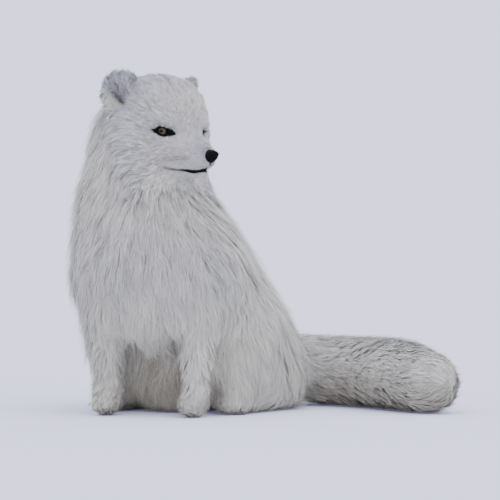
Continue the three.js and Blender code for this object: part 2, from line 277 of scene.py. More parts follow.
def lightStudio():
    world = bpy.data.worlds.new("studio")
    world.use_nodes = True
    tree = world.node_tree
    light = tree.nodes["Background"]
    light.inputs["Color"].default_value = (*studio["skyLight"], 1)
    seen = addNode(tree, "ShaderNodeBackground", {"Color": (*studio["backdrop"], 1)}).outputs[0]
    ray = addNode(tree, "ShaderNodeLightPath").outputs["Is Camera Ray"]
    both = addNode(tree, "ShaderNodeMixShader", {0: ray, 1: light.outputs[0], 2: seen}).outputs[0]
    tree.links.new(both, tree.nodes["World Output"].inputs["Surface"])
    bpy.context.scene.world = world
    sun = bpy.data.lights.new("softSun", "SUN")
    sun.energy = studio["sunStrength"]
    sun.color = studio["sunColour"]
    sun.angle = math.radians(studio["sunSpread"])
    placeObject("softSun", sun).rotation_euler = [math.radians(a) for a in studio["sunTurn"]]


def layFloor():
    bm = bmesh.new()
    bmesh.ops.create_circle(
        bm, cap_ends=True, segments=studio["floorSides"], radius=studio["floorRadius"],
    )
    mesh = bpy.data.meshes.new("floor")
    bm.to_mesh(mesh)
    bm.free()
    floor = placeObject("floor", mesh)
    material, tree, shader = newMaterial("floorPale", studio["floorSurface"])
    ray = addNode(tree, "ShaderNodeLightPath").outputs["Is Camera Ray"]
    colour = blendColour(tree, ray, studio["floorBounce"], studio["floor"])
    tree.links.new(colour, shader.inputs["Base Color"])
    glow = blendColour(tree, ray, (0, 0, 0), studio["floorGlow"])
    tree.links.new(glow, shader.inputs["Emission Color"])
    mesh.materials.append(material)


lightStudio()
layFloor()
print("camera, light and floor placed")

# skin: one surface over every node of flesh

regionOfNode = {
    "head": "head", "lower_jaw": "jaw", "neck": "neck", "trunk": "trunk",
    "tail_base": "tail", "tail_middle": "tail", "tail_tip": "tail",
}
paired = {
    "ear": "ear", "fore_leg": "foreLeg", "fore_paw": "forePaw", "thigh": "thigh",
    "hind_foot": "hindFoot",
}
for _, word in sides:
    regionOfNode.update({f"{part}_{word}": region for part, region in paired.items()})

# depth is how far the skin lies inside the tips; run is how far a hair travels along the body;
# cling is how closely it follows the body; puff lifts the tips past the outline; lie is how far it leans
# aside, how far back on the chest and how much more behind it, and how it falls
coatOf = {
    "head": {"depth": 0.010, "run": 0.020, "cling": 1, "puff": 0.001},
    "jaw": {"depth": 0.006, "run": 0.014, "cling": 1, "puff": 0},
    "ear": {"depth": 0.0030, "run": 0.010, "cling": 0.50, "puff": 0.0024},
    "neck": {"depth": 0.015, "run": 0.044, "cling": 1, "puff": 0.001, "lie": (0.30, 0, 0.25, -1)},
    "trunk": {"depth": 0.017, "run": 0.050, "cling": 1, "puff": 0.001, "lie": (0.40, 0.05, 0.45, -1)},
    "foreLeg": {"depth": 0.008, "run": 0.020, "cling": 1, "puff": 0, "lie": (0, 0.10, 0, -1)},
    "forePaw": {"depth": 0.0045, "run": 0.014, "cling": 0.8, "puff": 0, "lie": (0, -1, 0, -0.45)},
    "thigh": {"depth": 0.015, "run": 0.046, "cling": 1, "puff": 0.001, "lie": (0.25, 0.16, 0, -1)},
    "hindFoot": {"depth": 0.0055, "run": 0.015, "cling": 0.8, "puff": 0, "lie": (0, -1, 0, -0.45)},
    "tail": {"depth": 0.008, "run": 0.030, "cling": 1, "puff": 0.0014},
}
regions = list(coatOf)

skinShape = {
    "voxel": 0.0024,
    "letOut": 0.0005,  # lets each solid out, so that the thin cuts between them close
    "fineRounds": 8,
    "broadRounds": 90,
    "limbRounds": 16,
    "insetSteps": 12,
    "lowest": 0.0005,  # the skin stays this far above the floor
}


def joinSolids(nodes):
    parts, owner = [], []
    for node in nodes:
        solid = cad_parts[node]
        place = np.array(solid.matrix_world)
        raw = pointsOf(solid.data) @ place[:3, :3].T + place[:3, 3]
        kept, back = np.unique(np.round(raw, 6), axis=0, return_inverse=True)
        tris = back.ravel()[trianglesOf(solid.data)]
        parts.append((kept + skinShape["letOut"] * pointNormals(kept, tris), tris))
        owner.append(np.full(len(tris), regions.index(regionOfNode.get(node, "head"))))
    points, (faces,) = joinParts(parts)
    return points, faces, np.concatenate(owner)


def remesh(points, faces):
    rough = placeObject("rough", makeMesh("rough", points, [faces]))
    change = rough.modifiers.new("remesh", "REMESH")
    change.mode = "VOXEL"
    change.voxel_size = skinShape["voxel"]
    done = bpy.data.meshes.new_from_object(rough.evaluated_get(bpy.context.evaluated_depsgraph_get()))
    bpy.data.objects.remove(rough)
    return done


def refine(mesh, wanted):
    # halves the edges where wanted(points) is true
    bm = bmesh.new()
    bm.from_mesh(mesh)
    near = wanted(pointsOf(mesh))
    bm.verts.ensure_lookup_table()
    edges = [e for e in bm.edges if near[e.verts[0].index] and near[e.verts[1].index]]
    bmesh.ops.subdivide_edges(bm, edges=edges, cuts=1, use_grid_fill=True, smooth=0.0)
    bmesh.ops.triangulate(bm, faces=bm.faces[:])
    bm.to_mesh(mesh)
    bm.free()


fineWork = {"eye": 0.020, "ear": 0.030, "lips": 0.0045, "lids": 0.0145}  # how far the finer mesh reaches


def nearFace(p):
    h = toHead(p)
    face = (h[:, 0] > -0.008) & (np.abs(h[:, 1]) < 0.06) & (h[:, 2] < 0.02) & (h[:, 2] > -0.065)
    byEye = distanceTo(p, eyeMiddles) < fineWork["eye"]
    return face | byEye | (distanceTo(p, earMiddles) < fineWork["ear"])


def lipHeight(forward):  # the line where the lips meet, in the head's own axes
    rise = 0.0046 * smoothStep(0.036, 0.064, forward) + 0.0010 * bell(forward + 0.003, 0.007)
    return rise - 0.0438


def nearLips(p):
    h = toHead(p)
    lips = (np.abs(h[:, 2] - lipHeight(h[:, 0])) < fineWork["lips"]) & (h[:, 0] > -0.008)
    return (lips & (np.abs(h[:, 1]) < 0.045)) | (distanceTo(p, eyeMiddles) < fineWork["lids"])


def wrapSkin():
    solids = list(regionOfNode) + ["eye_left", "eye_right"]
    points, faces, owner = joinSolids(solids)
    mesh = remesh(points, faces)
    refine(mesh, nearFace)
    refine(mesh, nearLips)
    skinPoints, skinFaces = pointsOf(mesh), trianglesOf(mesh)
    bpy.data.meshes.remove(mesh)
    tree = BVHTree.FromPolygons(points.tolist(), faces.tolist())
    nearest = [tree.find_nearest(Vector(p))[2] for p in skinPoints]
    share = np.eye(len(regions))[owner[nearest]]
    return skinPoints, skinFaces, share


skinPoints, skinFaces, regionShare = wrapSkin()
skinLinks = linksOf(skinFaces)
regionShare = spread(regionShare, skinLinks, 30)
print("skin wrapped:", len(skinPoints), "points")


def shareOf(*names):
    return sum(regionShare[:, regions.index(name)] for name in names)


def coatValue(key):
    return regionShare @ np.array([coatOf[name][key] for name in regions])


# the face

eyeShape = {
    "outward": 42,  # how far the lids open out to each side, in degrees
    "gaze": 50,  # and how far the eye looks out
    "slant": 3,
    "lookUp": -0.05,
    "halfWidth": 0.0085,
    "upper": 0.0036,
    "lower": 0.0039,
    "lid": 0.0010,
    "blend": 0.009,
    "sink": 0.0020,
    "margin": 0.0004,
    "outerEnd": 0.0118,  # how far the dark corners of the lids reach
    "innerEnd": 0.0156,
    "bow": 0.05,
    "cornerAt": (-0.0118, -0.0090, 0.0090, 0.0118, 0.0156),
    "cornerThick": (0.0007, 0.0018, 0.0037, 0.0032, 0.0014),
    "rim": 0.0021,  # how wide the dark edge of the lids is
    "irisRadius": 0.0057,
    "cornea": 0.0007,
    "around": 0.026,  # nothing farther from the eye's middle belongs to it
}
mouthShape = {
    "depth": 0.0028,
    "width": 0.0013,
    "corner": 0.002,  # how far forward its corners lie
    "lipsForward": 0.0024,
    "lowerLip": 0.0007,
    "split": 0.0011,  # the groove from the nose down to the lips
}
pawShape = {
    "toeStep": 0.0073, "groove": 0.0035, "grooveWidth": 0.0022, "halfWidth": 0.024, "height": 0.036,
}
feet = [f"{part}_{word}" for part in ("fore_paw", "hind_foot") for _, word in sides]


def eyeAxes(side, turned="outward"):
    turn, slant = math.radians(eyeShape[turned]), math.radians(eyeShape["slant"])
    look = math.cos(turn) * headForward + side * math.sin(turn) * headLeft
    look = unit(look + eyeShape["lookUp"] * headUp)
    inner = math.sin(turn) * headForward - side * math.cos(turn) * headLeft
    rise = unit(headUp - dot(headUp, look) * look)
    inner = unit(inner - dot(inner, look) * look - dot(inner, rise) * rise)
    return (look, math.cos(slant) * inner - math.sin(slant) * rise,
            math.cos(slant) * rise + math.sin(slant) * inner)


def eyePlace(points, side):
    # how far each point is in front of the eye's middle, towards the nose, up, and away in all
    look, inner, rise = eyeAxes(side)
    away = points - eyeMiddles[side]
    return away @ look, away @ inner, away @ rise, lengthOf(away)


def eyeGap(b, c):
    # distance from the edge of the almond between the lids, negative inside it
    t = np.clip(b / eyeShape["halfWidth"], -1, 1)
    upper = eyeShape["upper"] * (1 - t * t) ** 0.65 * (1 - 0.25 * t)
    lower = -eyeShape["lower"] * (1 - t * t) ** 0.70 * (1 + 0.25 * t)
    past = np.maximum(np.abs(b) - eyeShape["halfWidth"], 0)
    return np.where(past > 0, np.hypot(past, c), np.maximum(c - upper, lower - c))


def lidLine(b, c):
    # distance from the line that the lids follow out to their dark corners
    return np.hypot(b - np.clip(b, -eyeShape["outerEnd"], eyeShape["innerEnd"]), c + eyeShape["bow"] * b)


def fitLids(points, side):
    ahead, b, c, reach = eyePlace(points, side)
    gap = eyeGap(b, c)
    lid = eyeRadius + eyeShape["lid"]
    over = mix(lid, np.maximum(reach, lid), smoothStep(0, eyeShape["blend"], gap))
    edge = smoothStep(-eyeShape["margin"], eyeShape["margin"], gap)
    wanted = mix(eyeRadius - eyeShape["sink"], over, edge)
    front = (ahead > 0.0) & (reach < eyeShape["around"])
    fade = smoothStep(eyeShape["around"], 0.020, reach) * smoothStep(0.0, 0.004, ahead)
    moved = eyeMiddles[side] + unit(points - eyeMiddles[side]) * mix(reach, wanted, fade)[:, None]
    return np.where(front[:, None], moved, points)


def pressMouth(points, normals):
    h = toHead(points)
    line = h[:, 2] - lipHeight(h[:, 0])
    inFace = (h[:, 0] > mouthShape["corner"] - 0.004) & (h[:, 2] < -0.03) & (np.abs(h[:, 1]) < 0.05)
    along = smoothStep(mouthShape["corner"] - 0.004, mouthShape["corner"] + 0.006, h[:, 0])
    groove = mouthShape["depth"] * bell(line, mouthShape["width"]) * along * inFace
    fullness = mouthShape["lowerLip"] * bell(line + 0.0032, 0.0020) * along * inFace
    split = mouthShape["split"] * bell(h[:, 1], 0.0009) * smoothStep(0.051, 0.057, h[:, 0])
    split *= (line > 0) & (h[:, 2] < -0.028)
    front = smoothStep(0.046, 0.058, h[:, 0]) * bell(h[:, 1], 0.013) * bell(h[:, 2] + 0.041, 0.007)
    lips = points + mouthShape["lipsForward"] * front[:, None] * headForward
    return lips + normals * (fullness - groove - split)[:, None]


earShape = {
    "open": 50,  # how far each ear opens out to the side, in degrees
    "slit": (0.646, 0.763),  # the fold in the hair that fills it, pressed in and painted dark as the shadow in the ear's opening
    "slitWidth": 0.0018,
    "slitLength": 0.0130,
    "slitRise": -0.0070,
    "slitAlong": 0.0046,
    "slitDepth": 0.0040,
    "hairFrom": 0.016,  # its hair fans out from this far below its middle
    "behind": -0.014,  # what lies farther back than this isn't inside it
}


def earPlace(points, side):
    # each point along the ear's own axes: out of its mouth, towards the crown, up
    turn = math.radians(earShape["open"])
    mouth = math.cos(turn) * headForward + side * math.sin(turn) * headLeft
    crown = math.sin(turn) * headForward - side * math.cos(turn) * headLeft
    away = points - earMiddles[side]
    return away @ mouth, away @ crown, away @ headUp, mouth, crown


def slitPlace(crown, up):
    # how far past the slit of the ear and how far along it
    a, b = earShape["slit"]
    return a * crown + b * up - earShape["slitRise"], b * crown - a * up - earShape["slitAlong"]


def slitMask(past, along):
    return bell(past, earShape["slitWidth"]) * bell(along, earShape["slitLength"])


def pressEars(points, normals):
    for side in (1, -1):
        out, crown, up, mouth, _ = earPlace(points, side)
        cut = slitMask(*slitPlace(crown, up)) * (out > earShape["behind"])
        cut *= smoothStep(0.0, 0.3, normals @ mouth) * (toHead(points)[:, 1] * side > 0)
        points = points - mouth * (earShape["slitDepth"] * cut)[:, None]
    return points


def pressToes(points, normals):
    moved = points.copy()
    for foot in feet:
        low, high = boxOf(foot)
        x, y = points[:, 0] - (low[0] + high[0]) / 2, points[:, 1]
        inside = (np.abs(x) < pawShape["halfWidth"]) & (points[:, 2] < pawShape["height"])
        inside &= (y > low[1] - 0.01) & (y < low[1] + 0.030)
        fan = 1 + 4 * (low[1] + 0.020 - y)
        cut = sum(bell(x - k * pawShape["toeStep"] * fan, pawShape["grooveWidth"]) for k in (-1, 0, 1))
        front = smoothStep(low[1] + 0.030, low[1] + 0.012, y)
        moved -= normals * (pawShape["groove"] * cut * front * inside)[:, None]
    return moved


# the hollows between forelegs and haunches: how far aside, how high, how tall
hollows = ((0.068, 0.096, 0.028), (-0.088, 0.107, 0.016))
hollowShape = {"depth": 0.015, "width": 0.009}


def hollowAt(points, normals, raised=0.0):
    x, y, z = points.T
    found = np.zeros(len(points))
    for aside, height, tall in hollows:
        across = bell(x - middleOf("trunk")[0] - aside, hollowShape["width"])
        found = np.maximum(found, across * bell(z - height - raised, tall))
    return found * smoothStep(0.05, 0.4, -normals[:, 1]) * smoothStep(-0.112, -0.090, y)


def slimPaw(points, narrower=0.20):
    # the right forefoot stands a little narrower on its outer side
    low, high = boxOf("fore_paw_right")
    outward = np.minimum(points[:, 0] - (low[0] + high[0]) / 2, 0)
    near = smoothStep(0.085, 0.035, points[:, 2]) * smoothStep(high[1] + 0.020, high[1], points[:, 1])
    points[:, 0] -= narrower * outward * near * (outward > -0.030)
    return points


def shapeSkin():
    points = spread(skinPoints, skinLinks, skinShape["fineRounds"])
    broad = shareOf("neck", "trunk", "thigh", "tail")
    limbs = shareOf("foreLeg", "forePaw", "hindFoot")
    for done in range(skinShape["broadRounds"]):
        near = spread(points, skinLinks, 1, 1.0)
        weight = 0.6 * np.maximum(broad, limbs * (done < skinShape["limbRounds"]))
        points += weight[:, None] * (near - points)
    normals = pointNormals(points, skinFaces)
    points -= normals * (hollowShape["depth"] * hollowAt(points, normals))[:, None]
    points = slimPaw(pressEars(pressToes(points, normals), normals))
    for side, _ in sides:
        points = fitLids(points, side)
    return pressMouth(points, pointNormals(points, skinFaces))


outerSkin = shapeSkin()
headPlace = toHead(outerSkin)
print("face and feet shaped")

# coat depth, length and lie at every point of the skin


bareAt = {
    "nose": 0.0082,  # how far out from its middle
    "lips": 0.0008,  # how far below the line where they meet
}


def bareDistance():
    # how far each point is from what has no fur: the lids, the lips and the nose
    away = lengthOf(outerSkin - noseMiddle) - bareAt["nose"]
    forward, left, up = headPlace.T
    onLips = (forward > mouthShape["corner"]) & (np.abs(left) < 0.05)
    away = np.minimum(away, np.where(onLips, np.abs(up - lipHeight(forward) + bareAt["lips"]), 1))
    for side, _ in sides:
        ahead, b, c, reach = eyePlace(outerSkin, side)
        gap = np.minimum(eyeGap(b, c), lidLine(b, c)) - eyeShape["rim"]
        away = np.minimum(away, np.where((ahead > 0) & (reach < 0.03), gap, 1))
        out, crown, rise, *_ = earPlace(outerSkin, side)
        past, along = slitPlace(crown, rise)
        slit = np.hypot(past, np.maximum(np.abs(along) - earShape["slitLength"], 0))
        away = np.minimum(away, np.where((out > -0.012) & (left * side > 0), slit, 1))
    return np.maximum(away, 0)


# on the muzzle, how much more on the back of the head and on the cheeks, how much less by the eyes,
# and how it grows from the edge of bare skin
headCoat = {
    "depth": {"muzzle": 0.0014, "back": 0.0036, "cheek": 0.0055, "eye": 0.55, "edge": (0.0009, 0.3)},
    "run": {"muzzle": 0.0042, "back": 0.020, "cheek": 0.010, "eye": 0.45, "edge": (0.0014, 0.75)},
}


def coatSize(key):
    forward, _, up = headPlace.T
    back = smoothStep(0.030, -0.060, forward)
    cheek = smoothStep(0.0, -0.045, forward) * smoothStep(0.012, -0.020, up)
    coat = headCoat[key]
    onHead = coat["muzzle"] + coat["back"] * back + coat["cheek"] * cheek
    onHead = onHead * (1 - coat["eye"] * bell(distanceTo(outerSkin, eyeMiddles), 0.017))
    size = mix(coatValue(key), onHead, np.clip(shareOf("head", "jaw"), 0, 1))
    bare = np.where(shareOf("head", "jaw", "ear") > 0.3, bareDistance(), 1)
    least, growth = coat["edge"]
    return np.minimum(size, least + growth * bare)


def insideEar(normals):
    # 1 inside the bowl of either ear, how far each point is past the slit, and 1 in the slit itself
    inside, past, slit = (np.zeros(len(outerSkin)) for _ in range(3))
    for side, _ in sides:
        out, crown, up, mouth, _ = earPlace(outerSkin, side)
        here = (headPlace[:, 1] * side > 0) & (out > earShape["behind"])
        facing = smoothStep(0.05, 0.45, normals @ mouth) * here
        inside = np.maximum(inside, facing * smoothStep(0.3, 0.6, shareOf("ear")))
        beyond, along = slitPlace(crown, up)
        past = np.where(here, beyond, past)
        fold = slitMask(beyond, along) * facing
        slit = np.maximum(slit, fold * smoothStep(0.04, 0.20, shareOf("ear")))
    return inside, past, slit


def lieInEar(normals):
    inside, past, _ = insideEar(normals)
    lie = np.zeros_like(outerSkin)
    for side, _ in sides:
        *_, mouth, crown = earPlace(outerSkin, side)
        mine = headPlace[:, 1] * side > 0
        root = earMiddles[side] - earShape["hairFrom"] * headUp
        lie[mine] = unit(outerSkin - root)[mine]
        a, b = earShape["slit"]
        lower = mine & (inside > 0.3) & (past < 0)
        lie[lower] = unit(0.3 * mouth - a * crown - b * headUp)
    return lie


def tailLine():
    ends = [middleOf(node) for node in ("tail_base", "tail_middle", "tail_tip")]
    tip = np.array([boxOf("tail_tip")[1][0], ends[2][1] - 0.035, ends[2][2]])
    line = np.array([ends[0] - [0.05, 0.01, 0], *ends, tip])
    for _ in range(3):  # rounds the corners off
        cut = np.stack([mix(line[:-1], line[1:], 0.25), mix(line[:-1], line[1:], 0.75)], 1)
        line = np.concatenate([line[:1], cut.reshape(-1, 3), line[-1:]])
    return line


def alongLine(points, line):
    # the direction of the nearest stretch of line, and how far along the whole it lies, from 0 to 1
    best, lie, place = np.full(len(points), np.inf), np.zeros_like(points), np.zeros(len(points))
    ways = np.diff(line, axis=0)
    lengths = lengthOf(ways)
    starts = np.concatenate([[0], np.cumsum(lengths)[:-1]])
    for way, length, start, corner in zip(ways, lengths, starts, line):
        t = np.clip((points - corner) @ way / length ** 2, 0, 1)
        far = lengthOf(points - corner - t[:, None] * way)
        closer = far < best
        best[closer], lie[closer] = far[closer], way / length
        place[closer] = (start + t[closer] * length) / lengths.sum()
    return lie, place


def hairLie(normals):
    forward, _, up = headPlace.T
    aside = (outerSkin[:, 0] - middleOf("trunk")[0]) / 0.11
    backward = smoothStep(-0.10, 0.02, outerSkin[:, 1])
    fromNose = unit(headPlace - np.array([0.075, 0, -0.020]))
    fromNose[:, 2] -= 0.35 * smoothStep(-0.01, -0.05, forward) * smoothStep(0.02, -0.02, up)
    fromNose[:, 2] -= 2.2 * smoothStep(0.15, 0.75, -dot(normals, headForward))
    onHead = fromNose @ headAxes
    lies = {"head": onHead, "jaw": onHead + 0.4 * np.array([0, 0, -1]), "ear": lieInEar(normals)}
    lies["tail"] = alongLine(outerSkin, tailLine())[0]
    for name in regions:
        if "lie" in coatOf[name]:
            across, back, farther, fall = coatOf[name]["lie"]
            across = across * (np.sign(aside) if name == "thigh" else aside)
            lies[name] = np.stack([across, back + farther * backward, np.full_like(aside, fall)], 1)
    total = sum(regionShare[:, [regions.index(name)]] * unit(lies[name]) for name in regions)
    total = spread(total, skinLinks, 14)
    return unit(total - dot(total, normals)[:, None] * normals)


def insetSkin(depth):
    points = outerSkin.copy()
    steps = skinShape["insetSteps"]
    ease = np.clip(depth / 0.012, 0, 1)[:, None]
    for _ in range(steps):
        points -= pointNormals(points, skinFaces) * (depth / steps)[:, None]
        for _ in range(3):
            points += 0.5 * ease * (spread(points, skinLinks, 1, 1.0) - points)
    points[:, 2] = np.maximum(points[:, 2], skinShape["lowest"])
    return points


coatDepth, coatRun = coatSize("depth"), coatSize("run")
outerNormals = pointNormals(outerSkin, skinFaces)
lieOfHair = hairLie(outerNormals)
# under the chest the hair hangs free
underChest = smoothStep(0.25, -0.35, outerNormals[:, 2]) * smoothStep(0.070, 0.085, outerSkin[:, 2])
coatCling = coatValue("cling") * (1 - 0.75 * underChest * shareOf("trunk"))
# the hair inside an ear stands up past its rim, and that on its back lies flat
backOfEar = shareOf("ear") * (1 - insideEar(outerNormals)[0])
coatCling = mix(coatCling, 1, 0.9 * backOfEar)
coatPuff = coatValue("puff") * (1 - backOfEar)
innerSkin = insetSkin(coatDepth)
innerNormals = pointNormals(innerSkin, skinFaces)
print("skin set in under the coat")

# markings and painted shade, the same on skin and coat


# how strong each colour and each painted shade is where it is strongest
markStrength = {
    "muzzleGrey": 0.30,
    "bridgeGrey": 0.40,
    # painted shade around the eyes
    "eyePaintedShade": 0.60,
    "noseGrey": 0.5,
    "earGrey": 0.85,
    "besideEarGrey": 0.42,
    "crownGrey": 0.38,
    # painted shade on the front of the chest
    "chestPaintedShade": 0.27,
    "tailBrown": 0.52,
    "tailBaseBrown": 0.28,
    "tailEndDark": 0.44,
    # painted shade in the hollows beside the forelegs
    "hollowPaintedShade": 0.45,
    # painted shade inside the bowl of each ear
    "earBowlShade": 0.22,
}


def faceMarks():
    # the bare rims of eyes, lips and nose, and the shade around the eyes
    forward, left, up = headPlace.T
    rim, shaded = np.zeros(len(up)), np.zeros(len(up))
    for side, _ in sides:
        ahead, b, c, reach = eyePlace(outerSkin, side)
        edge = smoothStep(eyeShape["rim"] + 0.0005, eyeShape["rim"] - 0.0003, eyeGap(b, c))
        thick = np.interp(b, eyeShape["cornerAt"], eyeShape["cornerThick"])
        corners = smoothStep(1.6, 0.9, lidLine(b, c) / thick)
        rim = np.maximum(rim, np.maximum(edge, corners) * ((ahead > 0) & (reach < 0.024)))
        inCorner = bell(np.hypot(b - eyeShape["innerEnd"], c), 0.0075)
        overEye = 0.6 * bell(b - 0.002, 0.009) * bell(c - 0.0085, 0.003)
        behind = 0.5 * bell(np.minimum(b + 0.012, 0), 0.010) * bell(c + 0.001, 0.0025) * (b < -0.008)
        shaded = np.maximum(shaded, (inCorner + overEye + behind) * (ahead > 0))
    line = up - lipHeight(forward)
    corner = mouthShape["corner"]
    along = 0.65 * smoothStep(corner - 0.003, corner + 0.006, forward)
    along += 0.35 * smoothStep(corner + 0.008, corner + 0.028, forward)
    low = mix(0.0012, 0.0044, smoothStep(0.024, 0.046, forward))
    lips = smoothStep(0.0013, 0.0006, line) * smoothStep(-low - 0.0010, -low, line)
    lips *= along * (np.abs(left) < 0.05)
    nose = smoothStep(0.0104, 0.0086, lengthOf(outerSkin - noseMiddle))
    wedge = mix(0.0011, 0.0040, smoothStep(-0.036, -0.028, up))  # bare skin runs down from the nose
    split = bell(left, wedge) * smoothStep(0.050, 0.055, forward) * (line > -0.001) * (up < -0.024)
    return np.maximum(np.maximum(rim, split), np.maximum(lips, nose)), shaded


def bellyBrown():
    x, y, z = outerSkin.T
    bodyMiddle = middleOf("trunk")[0]
    low = bell(x - bodyMiddle, 0.070) * smoothStep(0.138, 0.108, z) * smoothStep(-0.142, -0.120, y)
    inward = smoothStep(0.1, 0.6, outerNormals[:, 0] * np.sign(bodyMiddle - x))
    return low * (shareOf("trunk", "thigh") + 0.5 * inward * shareOf("foreLeg")) * smoothStep(0.10, 0.04, y)


def markings():
    forward, _, up = headPlace.T
    z = outerSkin[:, 2]
    much = markStrength
    rim, shaded = faceMarks()
    muzzle = smoothStep(-0.012, 0.030, forward) * shareOf("head", "jaw")
    bridge = bell(lengthOf(outerSkin - fromHead(0.051, 0, -0.014)), 0.012)
    byNose = bell(lengthOf(outerSkin - noseMiddle), 0.016)
    byEar = bell(distanceTo(outerSkin, earMiddles), 0.036) * smoothStep(-0.010, 0.012, up - 0.020)
    # painted shade on the forward-facing front of the chest, laid in with the grey hair
    chest = bell(z - 0.21, 0.06) * shareOf("trunk", "neck") * smoothStep(0, 0.6, -outerNormals[:, 1])
    crown = shareOf("head") * smoothStep(0.022, -0.018, forward)
    grey = much["crownGrey"] * crown + much["muzzleGrey"] * muzzle + much["bridgeGrey"] * bridge
    # painted shade around the eyes is laid in with the grey hair
    grey += much["eyePaintedShade"] * shaded + much["noseGrey"] * byNose + much["chestPaintedShade"] * chest
    ears = shareOf("ear")
    grey = np.maximum(grey, much["earGrey"] * ears) + much["besideEarGrey"] * byEar * (1 - ears)
    inside, past, slit = insideEar(outerNormals)
    paleLobe = 0.8 * smoothStep(0.2, 0.7, inside) * smoothStep(0.002, -0.004, past)
    grey = np.clip(grey, 0, 1) * (1 - paleLobe)  # pale below the slit
    tail = shareOf("tail")
    rearward = alongLine(outerSkin, tailLine())[1]
    under = much["tailBrown"] + much["tailBaseBrown"] * bell(rearward - 0.35, 0.15)
    # the hollows beside the forelegs, set higher where the long hair covers them: brown for their own hair,
    # dark as painted shade
    hollowBrownAndShade = hollowAt(outerSkin, outerNormals, 0.046)
    brown = bellyBrown() + smoothStep(0.062, 0.020, z) * tail * under + hollowBrownAndShade
    tailEnd = bell(rearward - 0.92, 0.08) * smoothStep(0.058, 0.026, z) * tail
    dark = np.maximum(much["tailEndDark"] * tailEnd, much["hollowPaintedShade"] * hollowBrownAndShade)
    # painted shade on the inner wall of each ear's bowl, past the slit
    bowlShade = much["earBowlShade"] * inside * smoothStep(-0.002, 0.004, past)
    # painted shadow: the slit of each ear is painted dark
    dark = np.maximum(dark + bowlShade, slit)
    return {"rim": rim, "grey": grey, "brown": np.clip(brown, 0, 1), "dark": dark}


marks = markings()

# materials

finish = {
    "coatPale": (0.665, 0.660, 0.655),
    "coatCool": (0.585, 0.585, 0.600),
    "greyHairAndShade": (0.365, 0.365, 0.470),
    "brownHair": (0.37, 0.335, 0.285),
    "darkHairAndShade": (0.13, 0.125, 0.13),
    "bareSkin": (0.006, 0.0055, 0.006),
    "undercoat": 0.88,  # how much darker the skin is than the hair
    "skinSurface": {"Roughness": 0.85, "Specular IOR Level": 0.05},
    "coatSurface": {"Roughness": 0.7, "Specular IOR Level": 0.25, "Sheen Weight": 0.2},
}


def newGroup(name, inputs, outputs):
    group = bpy.data.node_groups.new(name, "ShaderNodeTree")
    for title, kind, value in inputs:
        made = group.interface.new_socket(title, in_out="INPUT", socket_type=kind)
        if value is not None:
            made.default_value = value
    for title, kind in outputs:
        group.interface.new_socket(title, in_out="OUTPUT", socket_type=kind)
    return group, group.nodes.new("NodeGroupInput"), group.nodes.new("NodeGroupOutput")


def addNoise(tree, place, scale, detail, **more):
    values = {"Vector": place, "Scale": scale, "Detail": detail, **more}
    return addNode(tree, "ShaderNodeTexNoise", values).outputs["Fac"]


def rescale(tree, *values):  # the value, the range that it comes from, and the range that it goes to
    return addNode(tree, "ShaderNodeMapRange", dict(enumerate(values))).outputs[0]


def makeMarkingGroup():
    # the fox's colours and painted shade, from the masks that skin and coat share
    masks = [(title, "NodeSocketFloat", 0) for title in ("Rim", "Grey", "Brown", "Dark")]
    group, come, go = newGroup(
        "foxMarkings", [*masks, ("Place", "NodeSocketVector", None)], [("Colour", "NodeSocketColor")],
    )
    soft = rescale(group, addNoise(group, come.outputs["Place"], 22, 3), 0.35, 0.7)
    colour = blendColour(group, soft, finish["coatPale"], finish["coatCool"])
    colour = blendColour(group, come.outputs["Grey"], colour, finish["greyHairAndShade"])
    fleck = rescale(group, addNoise(group, come.outputs["Place"], 320, 2), 0.35, 0.62, 0.45, 1.0)
    for title, hair in (("Brown", "brownHair"), ("Dark", "darkHairAndShade")):
        mask = addNode(group, "ShaderNodeMath", {0: come.outputs[title], 1: fleck}, operation="MULTIPLY")
        colour = blendColour(group, mask.outputs[0], colour, finish[hair])
    colour = blendColour(group, come.outputs["Rim"], colour, finish["bareSkin"])
    group.links.new(colour, go.inputs["Colour"])
    return group


def makeStreakGroup():
    # fine streaks and grain that break up a colour or stand up as bump
    group, come, go = newGroup(
        "fineGrain",
        [("Vector", "NodeSocketVector", None), ("Scale", "NodeSocketFloat", 400.0),
         ("Amount", "NodeSocketFloat", 0.2)],
        [("Shade", "NodeSocketFloat"), ("Height", "NodeSocketFloat")],
    )
    amount = come.outputs["Amount"]
    grain = addNoise(group, come.outputs["Vector"], come.outputs["Scale"], 4, Roughness=0.65)
    shade = addNode(group, "ShaderNodeMath", {0: grain, 1: amount, 2: 1.0}, operation="MULTIPLY_ADD")
    values = {0: amount, 1: -0.5, 2: shade.outputs[0]}
    steady = addNode(group, "ShaderNodeMath", values, operation="MULTIPLY_ADD")
    group.links.new(steady.outputs[0], go.inputs["Shade"])
    group.links.new(grain, go.inputs["Height"])
    return group


markingGroup = makeMarkingGroup()
streakGroup = makeStreakGroup()


def placeGroup(tree, group, **values):
    return addNode(tree, "ShaderNodeGroup", values, node_tree=group).outputs


def readMark(tree, name, output="Fac"):
    return addNode(tree, "ShaderNodeAttribute", attribute_name=name).outputs[output]


def foxColour(tree, place):
    masks = {title: readMark(tree, title.lower()) for title in ("Rim", "Grey", "Brown", "Dark")}
    return placeGroup(tree, markingGroup, Place=place, **masks)["Colour"]


def multiply(tree, colour, value):
    grey = addNode(tree, "ShaderNodeCombineColor", {0: value, 1: value, 2: value})
    return blendColour(tree, 1.0, colour, grey.outputs[0], "MULTIPLY")


def raiseGrain(tree, shader, height, strength, distance):
    bump = addNode(tree, "ShaderNodeBump", {"Height": height, "Strength": strength, "Distance": distance})
    tree.links.new(bump.outputs[0], shader.inputs["Normal"])


